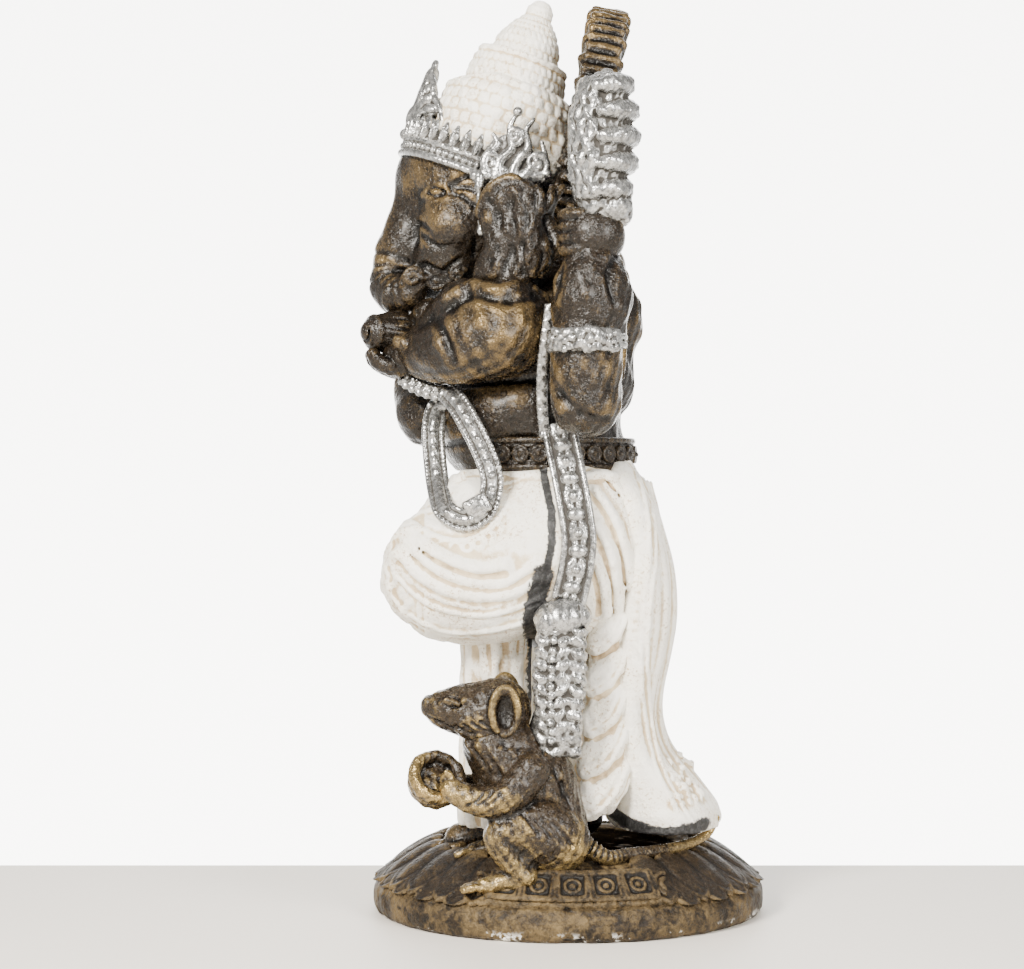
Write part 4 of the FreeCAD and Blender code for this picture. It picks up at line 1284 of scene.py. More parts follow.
def front_left_hand():
    """A cupped hand, palm up under the sweet."""
    clay = clay_of("front_left_hand", step=0.42, grow=6)
    clay.join(egg((16, -58, 211.5), (10.5, 13, 8)), 1)
    clay.join(egg((20, -53, 214), (9, 9, 9)), 3)
    clay.join(egg((13, -52, 225), (9, 8.5, 10)), 4)
    for i in range(4):
        x = 5.0 + 5.2 * i
        bend = 0.9 * abs(i - 1.5)
        finger(clay, [(x * 0.7 + 4, -60, 207.5), (x, -67.5 + bend, 207), (x, -73.0 + bend, 209),
                      (x, -75.5 + bend, 212)], [4.0, 3.5, 3.1, 2.5])
    finger(clay, [(25, -53, 213), (27, -58.5, 214.5), (26, -64, 216)], [4.0, 3.6, 2.8])
    clay.swell(wobble(0.35, 9))
    piece("front_left_hand_casting", clay, "bronze", "front_left_hand")


def modak():
    """A fat round sweet lying in the hand, its pleats meeting in a whorl at the front."""
    clay = clay_of("modak", step=0.38, grow=5)
    c = vec([13.0, -68.5, 220.5])
    yaw = (0, 0, 34)
    m = turned(yaw)

    def at(r, a, out):
        return c + m[:, 0] * r * cos(a) - m[:, 1] * out + m[:, 2] * r * sin(a)

    clay.join(egg(at(0, 0, -4), (8.8, 8.5, 8.8), yaw), 1)
    clay.join(strand([at(0, 0, -3), at(0, 0, 2.5), at(0, 0, 5.5)], [8.3, 7.4, 6.2]), 2)
    clay.join(hoop(at(0, 0, 6.6), 5.4, 1.6, (90, 0, 34)), 0.8)
    for i in range(12):
        a = 2 * pi * i / 12
        crease = [at(r, a + turn, out) for r, turn,
                  out in ((9.0, 0, -6), (8.7, 0.1, -2), (7.8, 0.2, 3), (7.0, 0.3, 6))]
        clay.carve(strand(crease, [0.2, 0.45, 0.5, 0.3], 3), 0.9)
    whorl = [at(5.6 - 0.44 * t, t, 10.6 - 0.1 * t) for t in np.linspace(0, 3.6 * pi, 30)]
    clay.carve(strand(whorl, 0.6, 1), 0.8)
    piece("modak_sweet", clay, "bronze", "modak")


def front_right_arm():
    clay = clay_of("front_right_arm", step=0.6, grow=4)
    clay.join(strand([(-31, -5, 229), (-36, -24, 215), (-32, -44, 200), (-24, -54, 191)], [13, 13.5, 13, 12.8],
                     6), 1)
    clay.join(strand([(-24, -54.5, 191), (-33, -59, 200), (-42, -60.5, 213)], [12.3, 10, 7.2], 6), 3)
    clay.swell(wobble(0.4, 17, 2))
    clay.join(hoop((-40.5, -60.5, 210.5), 7.6, 1.2, (12, -32, 0)), 0.6)
    clay.join(hoop((-38.9, -60.2, 208.0), 8.2, 0.9, (12, -32, 0)), 0.6)
    piece("front_right_arm_casting", clay, "bronze", "front_right_arm")


def front_right_hand():
    """An open hand, raised with its palm to the front."""
    clay = clay_of("front_right_hand", step=0.42, grow=4)
    clay.join(egg((-45.5, -61, 222), (8.2, 4.2, 8.8)), 1)
    clay.join(limb((-42.5, -60.5, 213), (-44.5, -61, 218), 6.5, 6), 3)
    for i in range(4):
        x = -51.3 + 4.0 * i
        top = 240.5 - abs(i - 1.6) * 1.7
        finger(clay, [(x, -61, 227), (x - 0.3, -62.2, 233), (x - 0.4, -61.6, top)], [2.5, 2.3, 1.8])
    finger(clay, [(-40.5, -62, 218), (-35.8, -63, 223), (-34.4, -63, 228)], [3.0, 2.5, 1.8])
    clay.join(egg((-45.5, -65.0, 222), (2.6, 0.9, 2.6)), 0.4)
    clay.join(hoop((-45.5, -65.2, 222), 3.4, 0.5, (90, 0, 0)), 0.3)
    piece("front_right_hand_casting", clay, "bronze", "front_right_hand")


def rear_arm(side):
    """Upper arm down from the shoulder and the forearm folded up beside it."""
    node = f"rear_{SIDES[side]}_arm"
    low, high = corners(node)
    clay = Clay(low - 4, high + 4, 0.55)
    x, y, bottom = side * 57, (low[1] + high[1]) / 2, low[2]
    upper = [(side * 31, y * 0.3 + 3, 229), (side * 43, y * 0.6 + 2, 214), (side * 52, y, bottom + 16)]
    clay.join(strand(upper, [13, 12.5, 12], 5), 1)
    fore = [(x, y - 0.5, bottom + 12.5), (x, y - 0.5, bottom + 27), (x, y + 1.0, 228),
            (x, y + 1.5, high[2] - 7)]
    clay.join(strand(fore, [12.6, 13.0, 13.6, 9.6], 6), 3)
    clay.join(egg((x + side * 1.5, y + 2, 231), (12, 14, 15)), 4)
    clay.swell(wobble(0.5, 15, side))
    for r, pairs in ((0.8, [(-12, 250), (-10, 240), (-12, 230)]), (0.7, [(11, 246), (7, 238), (9, 228)]),
                     (0.4, [(-10, 196), (-3, 188), (7, 186)])):
        groove = clay.trace(flank(side * 90, [(y + dy, z) for dy, z in pairs]), (-side, 0, 0))
        clay.carve(rope(groove, r * 0.7), 3.2)
    piece(SIDES[side] + "_rear_arm_casting", clay, "bronze", node)


def rear_hand(side):
    """A fist closed round what it holds; from outside its smooth back shows."""
    node = f"rear_{SIDES[side]}_hand"
    low, high = corners(node)
    cx, cy, _ = (low + high) / 2
    clay = Clay(low - 5, high + 6, 0.42)
    clay.eggs(((cx + side * 0.5, cy + 1, 251), (10, 10.5, 9), 1),
              ((cx + side * 3.5, cy + 1, 255), (6.5, 9.5, 8), 4))

    def finger_round(points, radii):
        finger(clay, [(cx + side * x, cy - y, z) for x, y, z in points], radii)

    for i in range(4):
        z = 247 + 4.2 * i
        finger_round([(6.5, 4.5, z + 0.5), (3.5, 9.5, z + 0.4), (-2, 10.5, z + 0.4), (-6.5, 7, z)],
                     [2.2, 2.4, 2.2, 1.8])
    finger_round([(-7, 0, 252), (-6, 5, 258), (1, 8, 262.5)], [2.6, 2.4, 1.8])
    piece(SIDES[side] + "_rear_hand_casting", clay, "bronze", node)


# ---- bands, sashes and ornaments
def seat(points, clays, side, lift=0.0, reach=9.0):
    """Lays guessed points on the nearest skin met from the given side, but never far from the guess."""
    p = vec(points)
    start = p.copy()
    start[:, 0] = side * 85
    best = np.abs(p[:, 0])
    for clay in clays:
        hit, done = clay.reach(start, (-side, 0, 0))
        run = np.where(done, np.abs(hit[:, 0]), 0)
        best = np.where(run > best, np.minimum(run, np.abs(p[:, 0]) + reach), best)
    p[:, 0] = side * (best + lift)
    return p


def jewelled_band(clay, line, width, thick, side, pitch=7.0):
    """A flat sash with raised borders and a column of jewels down its middle."""
    spacing = 2.2
    line = even(smooth(line, 6), spacing)
    clay.join(strap(line, width, thick, BACKWARDS, 1), 0.8)
    frames = []
    for i in range(len(line)):
        t = unit(line[min(i + 1, len(line) - 1)] - line[max(i - 1, 0)])
        n = unit(np.cross(t, BACKWARDS))
        if n[0] * side < 0:
            n = -n
        frames.append((line[i], t, n, np.cross(n, t)))
    for s in (-1, 1):
        edge = [c + u * s * (width / 2 - 0.9) + n * (thick / 2 - 0.1) for c, t, n, u in frames]
        clay.join(rope(edge, 1.15), 0.5)
    for k, (c, t, n, u) in enumerate(frames[1:-1:max(int(round(pitch / spacing)), 1)]):
        c = c + n * (thick / 2)
        if k % 2 == 0:
            clay.join(plank(c, (u, n, t), (3.4, 1.3, 2.7), 0.9), 0.6)
            clay.join(ball(c + n * 1.1, 1.7), 0.5)
        else:
            clay.join(egg(c, (2.2, 3.3, 2.7)), 0.8)
        for s in (-1, 1):
            clay.join(ball(c + t * pitch / 2 + u * s * 1.5, 1.35), 0.5)


SASH = [(37, -4.5, 184.5), (41.5, -2.5, 174), (45.5, -0.5, 164), (48.3, 1.5, 153), (49, 2.8, 142),
        (49.2, 1.5, 131), (49.4, -0.8, 121)]


def sash(side, under):
    node = SIDES[side] + "_sash"
    clay = clay_of(node, step=0.42, grow=4)
    line = SASH if side > 0 else [(4.5 - p[0], p[1], p[2]) for p in SASH]
    line = seat(line, under, side, 0.6, 4)
    jewelled_band(clay, line, 12.5, 3.4, side)
    if side > 0:
        piece("left_sash_band", clay, "silver", node)
        return
    knot_forms(clay, side)
    tassel_forms(clay, side)
    piece("right_sash_band", clay, "silver", node)


def knot_forms(clay, side):
    """A thick smooth roll of cloth pulled tight over the sash."""
    x = side * 49.5
    clay.join(egg((x, -2.8, 114.3), (7.8, 10.4, 7.3), (6, 0, 0)), 0.6)
    clay.join(egg((x + side * 0.6, -7, 112.5), (7, 6.0, 6.2)), 3)
    for y0, y1 in ((-9, -3), (3, 7)):
        pairs = [(y0, 119), ((y0 + y1) / 2 - 1.5, 114), (y1 - 3, 109)]
        crease = clay.trace(flank(side * 80, pairs), (-side, 0, 0), 5)
        if len(crease) > 2:
            clay.carve(rope(crease, 0.35), 1.8)
    clay.swell(wobble(0.15, 9))


def tassel_forms(clay, side):
    """Twisted cords laid side by side with beads between them, gathered into a rounded end."""
    x = side * 50.0
    clay.join(egg((x, -4.5, 92), (7.6, 9.6, 18)), 1)
    clay.join(egg((x, -5.5, 74), (7.6, 9.6, 10)), 3)
    for tip, y0, y1, y2, r in ((-30, -9.0, -10.6, -9.6, 3.6), (30, -3.4, -4.6, -5.0, 3.8),
                               (-30, 2.2, 2.0, 0.4, 3.4)):
        cord = [(x + side * 2.6, y0, 110), (x + side * 4.6, y1, 92), (x + side * 4.6, y2, 78),
                (x + side * 2.6, y2, 66)]
        for p in even(smooth(cord, 5), 4.6):
            clay.join(egg(p, (r, r * 1.15, 2.7), (tip, 0, 0)), 1.0)
    row = [(x + side * 6.6, -6.6, 106), (x + side * 8.0, -7.6, 90), (x + side * 7.0, -7.4, 70)]
    clay.join([egg(p, (1.7, 1.6, 1.7)) for p in even(smooth(row, 4), 3.4)], 0.6)
    clay.swell(wobble(0.4, 8))


def left_knot():
    clay = clay_of("left_sash_knot", step=0.42, grow=4)
    knot_forms(clay, 1)
    piece("left_sash_knot_roll", clay, "silver", "left_sash_knot")


def left_tassel():
    clay = clay_of("left_sash_tassel", step=0.4, grow=4)
    tassel_forms(clay, 1)
    clay.keep(slab((50, -4, 86), (30, 30, 24.5), soft=2))
    piece("left_sash_tassel_cords", clay, "silver", "left_sash_tassel")


def loop_sash(under):
    """A U of twisted cord with a jewelled strap inside it; its ends run in under the hand."""
    clay = clay_of("loop_sash", step=0.42, grow=10)
    line = [(8, -47.5, 192.5), (15, -50, 191), (20.5, -51.2, 184), (22.5, -51, 177), (25, -50.3, 170),
            (29, -49, 162),
            (33, -46.5, 154), (37, -42, 150.5), (40, -37, 150), (43, -31.5, 153.5), (43.5, -29, 161),
            (43, -29.5, 168),
            (39.5, -33, 177), (36, -38, 186.5), (31, -42, 193), (24, -46.5, 198)]
    line = even(smooth(seat(line, under, 1, 1.4, 14), 6), 1.7)
    clay.join(rope(line, 2.6), 0.6)
    for i in range(1, len(line) - 1):
        t = unit(line[i + 1] - line[i - 1])
        u = unit(np.cross(t, OUTWARDS))
        c = line[i]
        for s in (-1, 1):
            p = c + u * s * 3.3 + vec([0.5, 0, 0])
            clay.join(limb(p - t * 0.7 - vec([0.5, 0, 0]), p + t * 0.7 + vec([0.8, 0, 0]), 1.05), 0.35)
        if i % 3 == 0:
            clay.join(ball(c + vec([2.3, 0, 0]), 1.35), 0.4)
    garland = even(smooth([(25, -46, 196.5), (21.5, -53, 198), (16.5, -59.5, 201), (11, -65.5, 205)], 6), 3.6)
    clay.join(rope(garland, 2.0), 0.5)
    for i, p in enumerate(garland):
        for q in circle(6):
            petal_at = p + vec([2.4, 0, 0]) + vec([0, 2.0 * cos(q + i), 2.0 * sin(q + i)])
            clay.join(egg(petal_at, (1.4, 1.35, 1.35)), 0.3)
        clay.join(ball(p + vec([3.2, 0, 0]), 1.2), 0.3)
    c = seat([(43, -34.5, 155)], under, 1, 2.4, 14)[0]
    clay.join(slab(c + vec([1.5, 0, 0]), (2.8, 4.6, 3.6), (28, 0, 8), 1.0), 0.4)
    clay.join(slab(c + vec([3.6, 0, 0]), (1.4, 2.9, 2.1), (28, 0, 8), 0.8), 0.5)
    piece("loop_sash_cord", clay, "silver", "loop_sash")


def chest_strip(under):
    """A thin cord of rough knots between the front arm and the rear one."""
    clay = clay_of("chest_strip", step=0.38, grow=14)
    line = [(50, -7.5, 234), (50, -8, 225), (48, -9.5, 215), (44, -10.5, 204), (40, -10.5, 192),
            (38.5, -9.5, 181)]
    line = even(smooth(seat(line, under, 1, 0.6, 9), 6), 1.3)
    clay.join(strap(line, 4.2, 3.4, (0, 1, 0), 1), 0.5)
    for i, p in enumerate(line):
        wave = sin(1.9 * i) * 0.7
        clay.join(egg(p + vec([1.3, wave, 0]), (1.1, 1.5, 1.1)), 0.4)
    piece("chest_strip_cord", clay, "silver", "chest_strip")


def armband(name, node, radius, tilt=(0, 0, 0), flower=None, lap=(0, 360), at=None):
    """Clustered flowers round the arm; lap gives the angles that the band covers."""
    low, high = corners(node)
    c = (low + high) / 2 if at is None else vec(at)
    clay = Clay(low - 5, high + 5, 0.4)
    m = turned(tilt)
    start, end = radians(lap[0]), radians(lap[1])

    def outwards(t):
        return m[:, 0] * cos(t) + m[:, 1] * sin(t)

    def spot(t, out=0.0, up=0.0):
        return c + outwards(t) * (radius + out) + m[:, 2] * up

    def blossom(t, p, petals, start, wide, tall, size, blend, heart, heart_size):
        across = np.cross(m[:, 2], outwards(t))
        for q in circle(petals):
            clay.join(egg(p + across * wide * cos(q + start) + m[:, 2] * tall * sin(q + start), (size,) * 3),
                      blend)
        clay.join(ball(p + outwards(t) * heart, heart_size), 0.3)

    for up in (-2.4, 0.0, 2.4):
        clay.join(strand([spot(t, -0.9, up) for t in np.linspace(start, end, 40)], 1.9, 1), 0.8)
    if 180 < lap[1] - lap[0] < 360:
        rest = np.linspace(end, start + 2 * pi, 16)
        clay.join([form for up in (-1.4, 1.4) for form in strand([spot(t, -0.2, up) for t in rest], 1.1, 1)],
                  0.8)
    count = int((lap[1] - lap[0]) / 25)
    for i in range(count):
        t = start + (end - start) * (i + 0.5) / count
        blossom(t, spot(t, 0.3, 0.6 * sin(2.4 * i)), 6, 1.7 * i, 2.2, 2.9, 1.5, 0.45, 0.6, 1.3)
    if flower is not None:
        t = radians(flower)
        blossom(t, spot(t, 0.6), 7, 0, 3.3, 3.3, 2.0, 0.4, 0.8, 2.0)
    clay.swell(wobble(0.3, 6))
    piece(name, clay, "silver", node)


def lotus_bud():
    """A closed bud with ragged scales in front and thick ribs round its back."""
    clay = clay_of("lotus_bud", step=0.42, grow=5)
    c = vec([60, 11.0, 285])
    clay.join(egg(c, (11.5, 10.5, 24), (-3, 0, 0)), 1)
    clay.join(egg((60, 12.5, 303), (8.5, 7.5, 8)), 3)
    clay.join(egg((60, 14, 263), (8, 8, 7)), 4)
    for i in range(5):
        z = 268.5 + 9.3 * i
        half = 11.6 - 0.5 * (i - 2) ** 2
        y = 21.0 - 0.6 * (i - 2.1) ** 2
        bar = [(60 + half * sin(t), y - 9.5 * (1 - cos(t)), z + 0.8 - 0.8 * abs(t)) for t in np.linspace(-1.65,
                                                                                                         1.65,
                                                                                                         7)]
        clay.join(strand(bar, [2.2, 3.3, 3.8, 3.9, 3.8, 3.3, 2.2], 3), 0.8)
    for row in range(9):
        z = 263.5 + 5.2 * row
        span = sqrt(max(1 - ((z - c[2]) / 26) ** 2, 0.05))
        for k in range(7):
            t = pi * 1.12 + pi * 0.76 * (k + (0.5 if row % 2 else 0.0)) / 6.5
            p = vec([60 + 12.0 * span * cos(t), 11.0 + 11.0 * span * sin(t), z])
            clay.join(egg(p, (2.4, 2.2, 4.2), (0, 0, degrees(t))), 1.2)
    for k in range(6):
        t = 2 * pi * k / 6
        clay.join(ball((60 + 4.0 * cos(t), 12.5 + 3.6 * sin(t), 308.5), 2.4), 0.6)
    clay.join(ball((60, 12.5, 310.5), 2.3), 0.5)
    clay.join(ball((60, 18.5, 259), 3.2), 0.8)
    clay.swell(wobble(0.4, 7))
    clay.keep(slab((60, 12, 284), (14, 13.5, 30), soft=1))
    piece("lotus_bud_scales", clay, "silver", "lotus_bud")


def axe():
    clay = clay_of("axe", step=0.4, grow=3)
    clay.join(limb((-57, 14, 257), (-57, 14, 307), 2.6), 0.5)
    for z in (262, 270, 304, 284):
        clay.join(hoop((-57, 14, z), 2.8, 1.0), 0.4)
    clay.join(ball((-57, 14, 308), 3.2), 0.5)
    edge = [(-60, 298), (-66, 301.5), (-73.0, 305), (-74.2, 295), (-73.0, 285), (-66, 288), (-60, 291.5)]
    for a, b in zip(edge[:-1], edge[1:]):
        clay.join(strand([(-57, 14, 295), ((a[0] + b[0]) / 2, 14, (a[1] + b[1]) / 2)], [3.4, 1.4], 2), 2.5)
        clay.join(limb((a[0], 14, a[1]), (b[0], 14, b[1]), 1.2), 1.5)
    clay.join(slab((-66, 14, 295), (6, 1.7, 6.5), soft=1.2), 2)
    clay.join(egg((-52.6, 14, 295), (3.2, 2.2, 3.6)), 1.5)
    for dz in (-2.5, 2.5):
        clay.carve(limb((-62, 11.8, 295 + dz), (-70, 12.2, 295 + dz * 1.6), 0.5), 0.4)
    piece("axe_silver", clay, "silver", "axe")


# ---- headdress
CROWN_TILT = (-19, 0, 0)


def weave(centre, m, count, pitch, amount, twist=0.0):
    """A basket pattern: rows of pillows round a leaning axis, each row shifted by half a pillow."""
    def push(x, y, z):
        u, v, w = local(x, y, z, centre, m)
        a = np.arctan2(v, u)
        row = np.floor(w / pitch)
        phase = a * count + np.pi * (row % 2) + twist * w + 0.25 * np.sin(5 * a + w)
        pillow = np.abs(np.sin(phase / 2)) ** 0.6 * np.abs(np.sin(np.pi * w / pitch)) ** 0.6
        uneven = 0.82 + 0.18 * np.sin(3 * a + w * 0.7) * np.sin(7 * a - 1.3 * w)
        return (amount * (pillow * uneven - 0.5)).astype(np.float32)
    return push


def headdress_tier(part, step, centre, profile, weaving, hoops, wobbling=None, extra=None, kept=None):
    """One woven tier of the headdress, leaning back; hoops are (height, radius, thickness)."""
    node = "headdress_" + part
    clay = clay_of(node, step=step, grow=4)
    m, c = turned(CROWN_TILT), vec(centre)
    clay.join(lathe(c, profile, CROWN_TILT))
    if extra:
        clay.join(*extra)
    clay.swell(weave(c, m, *weaving))
    for dz, r, t in hoops[1]:
        clay.join(hoop(c + m[:, 2] * dz, r, t, CROWN_TILT), hoops[0])
    if wobbling:
        clay.swell(wobble(*wobbling))
    if kept:
        clay.keep(kept)
    piece(node + "_weave", clay, "white", node)


BAND_TILT = (-22, 0, 0)
BAND_MIDDLE = vec([0, -34, 283])


def tiara_band():
    """Two rows of beads with a row of upright leaves above, tilted up to the front."""
    clay = clay_of("tiara_band", step=0.4, grow=4)
    m = turned(BAND_TILT)
    c = BAND_MIDDLE
    a, b = 31.2, 30.4
    clay.join(hoop(c, a - 1.2, 2.2, BAND_TILT, wide=5.2, squash=b / a), 0.5)
    clay.join(hoop(c - m[:, 2] * 4.2, a + 0.4, 1.5, BAND_TILT, squash=b / a), 0.5)
    clay.join(hoop(c + m[:, 2] * 1.2, a + 0.2, 1.0, BAND_TILT, squash=b / a), 0.4)

    def spot(t, out, up):
        return c + m[:, 0] * (a + out) * cos(t) + m[:, 1] * (b + out) * sin(t) + m[:, 2] * up

    for t in circle(72):
        clay.join(ball(spot(t, 0.9, -1.5), 1.25), 0.25)
    for t in circle(96):
        clay.join(ball(spot(t, 1.2, -4.4), 0.85), 0.3)
    for t in circle(40, 0.5):
        if sin(t) > 0.72:
            continue
        lean = turned(BAND_TILT) @ turned((0, 0, degrees(atan2(sin(t), cos(t)))))
        base, tip = spot(t, 0.2, 2.2), spot(t, 0.9, 9.6)
        waist = (base + tip) / 2
        clay.join([limb(base, waist, 1.5, 2.0), limb(waist, tip, 2.0, 0.7)], 0.5)
        clay.join(limb(base + lean[:, 0] * 1.7, tip * 0.7 + base * 0.3 + lean[:, 0] * 1.9, 0.7), 0.3)
    clay.keep(slab((0, -34, 285), (50, 50, 22), soft=1))
    piece("tiara_band_beads", clay, "silver", "tiara_band")


def scroll(clay, centre, axes, start, turns, r0, r1, thick):
    """A flat spiral that tightens from r0 to r1."""
    u, v = axes
    points = []
    for t in np.linspace(0, 1, int(16 * abs(turns)) + 2):
        a = start + 2 * pi * turns * t
        r = r0 + (r1 - r0) * t
        points.append(centre + u * r * cos(a) + v * r * sin(a))
    clay.join(strand(points, [thick, thick * 1.1, thick * 0.9, thick * 1.4], 2), 0.4)


def tiara_crest():
    """A tall pointed leaf over the brow, filled with scrolls and jewels."""
    clay = clay_of("tiara_crest", step=0.38, grow=4)
    lean = (-20, 0, 0)
    m = turned(lean)
    u, n, v = m[:, 0], -m[:, 1], m[:, 2]
    c = vec([0, -58.5, 304])

    def place(x, y, out=0.0):
        return c + u * x + v * y + n * (out - 0.062 * x * x)

    half = [(13.5, -9), (14.2, -2), (12, 5), (8.5, 9.5), (6.5, 14), (2.8, 17.5)]
    outline = [(-x, y) for x, y in half] + [(0, 23)] + half[::-1]
    clay.join([limb(place(0, -6), place(x * 0.7, y * 0.75), 3.0, 2.2) for x, y in outline], 4)
    clay.join([limb(place(0, 2), place(x * 0.85, y * 0.85), 2.2, 1.8) for x, y in outline], 3)
    rim = even(smooth([place(x, y, 0.4) for x, y in outline], 5), 1.6)
    clay.join(rope(rim, 1.25), 0.6)
    clay.join(beads(rim, 1.35, 2.9), 0.3)
    for s in (-1, 1):
        for x, y, out, start, turns, r0, r1, thick in (
            (6.8, -1, 1.6, -1.6, 1.6, 4.4, 0.8, 0.9), (3.8, 8.5, 1.6, -1.2, 1.4, 3.2, 0.7, 0.8),
            (10.2, -6.5, 1.4, 0.6, 1.2, 2.6, 0.7, 0.8),
        ):
            scroll(clay, place(s * x, y, out), (u * s, v), start, turns, r0, r1, thick)
    clay.join(egg(place(0, 0.5, 2.0), (2.6, 2.2, 4.4), lean), 0.4)
    clay.join(egg(place(0, 10, 1.6), (1.5, 1.4, 2.4), lean), 0.4)
    clay.join(ball(place(0, -7, 2.0), 2.3), 0.4)
    for x in (-5, -2.5, 2.5, 5):
        clay.join(ball(place(x, -7.6, 1.7), 1.2), 0.3)
    foot_line = [place(x, -10, 0.8) for x in np.linspace(-11, 9, 9)]
    for form in rope(foot_line, 1.3):
        clay.join(form, 0.3)
    piece("tiara_crest_leaf", clay, "silver", "tiara_crest")


def ear_scroll(side):
    """Flames and scrolls that rise from the tiara over the ear."""
    node = SIDES[side] + "_ear_scroll"
    low, high = corners(node)
    clay = Clay(low - 5, high + 5, 0.36)
    x = side * 34
    for pairs in (
        [(-31, 277), (-31.5, 284), (-27, 289), (-28.5, 293)],
        [(-27, 276), (-26, 283), (-21.5, 288), (-22.5, 295), (-19.5, 301)],
        [(-22, 276), (-19.5, 283), (-15.5, 288), (-16.5, 294), (-13.5, 298.5)],
        [(-18, 276), (-14, 281), (-9.5, 284), (-10.5, 290)],
    ):
        clay.join(strand(flank(x, pairs), [2.0, 1.9, 1.6, 1.2, 0.8], 5), 0.5)
    clay.join([limb((x - side * 0.8, a, 277.5), (x - side * 0.8, b, 277.5), 2.6) for a,
               b in ((-33, -24), (-24, -11))], 0.8)
    clay.join(egg((x - side * 1.2, -22, 285), (1.4, 8.5, 8.5)), 0.8)
    for y, z, start, turns, r0, thick in ((-12.5, 282.0, -1.7, 1.5, 4.6, 1.15),
                                          (-29.5, 282.0, 2.0, -1.4, 3.8, 1.05),
                                          (-20.5, 292.5, -1.6, 1.3, 3.4, 1.0)):
        scroll(clay, vec([x + side * 0.6, y, z]), (vec((0, 1, 0)), vec(UP)), start, turns, r0, 0.9, thick)
    for y, z, r in ((-35.0, 277.5, 2.4), (-24.5, 279.5, 1.6), (-19.5, 301.3, 1.9), (-8.6, 278, 1.7)):
        clay.join(ball((x + side * 0.5, y, z), r), 0.3)
    piece(SIDES[side] + "_ear_scroll_flames", clay, "silver", node)


def ear_pendants():
    clay = clay_of("ear_pendants", step=0.35, grow=3)
    for s in (-1, 1):
        line = even(smooth([(s * 36.0, -33.6, 277), (s * 36.6, -33.8, 268), (s * 36.0, -33.0, 256.5)], 5), 1.8)
        clay.join(rope(line, 0.9), 0.3)
        for i, p in enumerate(line):
            clay.join(ball(p, 1.9 if i < 3 else 1.15), 0.3)
        clay.join(egg(line[-1] + vec([0, 0, 0.5]), (1.5, 1.6, 2.2)), 0.3)
    piece("ear_pendant_drops", clay, "silver", "ear_pendants")


# ---- the mouse
def fur(clay, lines, direction, radius=0.45, blend=0.7):
    """Short grooves combed into the coat."""
    for points in lines:
        line = clay.trace(points, direction, 5)
        if len(line) > 2:
            clay.carve(rope(line, radius), blend)


def mouse_body():
    clay = clay_of("mouse_body", step=0.5, grow=10)
    clay.eggs(((47, -12, 40), (17, 17.5, 19.5), 1), ((48, -17, 55), (15.5, 18.5, 15), 6),
              ((48.5, -25, 67), (12, 13, 12.5), 6), ((49, -31, 69), (9.5, 8, 9), 4),
              ((55, -6, 33), (10, 12.5, 12), 5), ((39, -6, 33), (9, 12, 12), 5))
    clay.swell(wobble(0.45, 13))
    x = 85
    for i in range(7):
        y = -38 + 4.0 * i
        collar = flank(x, [(y, 69 - 0.6 * i), (y + 3.4, 65 - 0.8 * i), (y + 6.5, 60.5 - 0.6 * i)])
        clay.join(rope(clay.trace(collar, INWARDS, 5), 1.0), 1.6)
    seam = clay.trace(flank(x, [(-10.5, 68), (-10, 55), (-10.2, 42), (-10.6, 28)]), INWARDS, 8)
    clay.carve(rope(seam, 0.5), 0.4)
    fur(clay, [flank(x, [(-26 + 3 * i, 55 - 2 * (i % 3)), (-22 + 3 * i, 49 - 2 * (i % 3)),
                         (-18 + 3 * i, 46 - 2 * (i % 3))])
               for i in range(4)], INWARDS, 0.4, 1.4)
    fur(clay, [flank(x, [(-6 + 2.2 * i, 60 - 5 * i), (-3.5 + 2.2 * i, 52 - 5 * i),
                         (-2.5 + 2.0 * i, 44 - 5 * i)])
               for i in range(3)], INWARDS, 0.4, 1.6)
    thigh = clay.trace(flank(x, [(-20, 47), (-11, 48.5), (-2, 44), (1, 35)]), INWARDS, 8)
    clay.carve(rope(thigh, 0.8), 2.8)
    clay.keep(slab((47, -10, 60), (60, 60, 37), soft=0.5))
    piece("mouse_body_casting", clay, "mouse", "mouse_body")


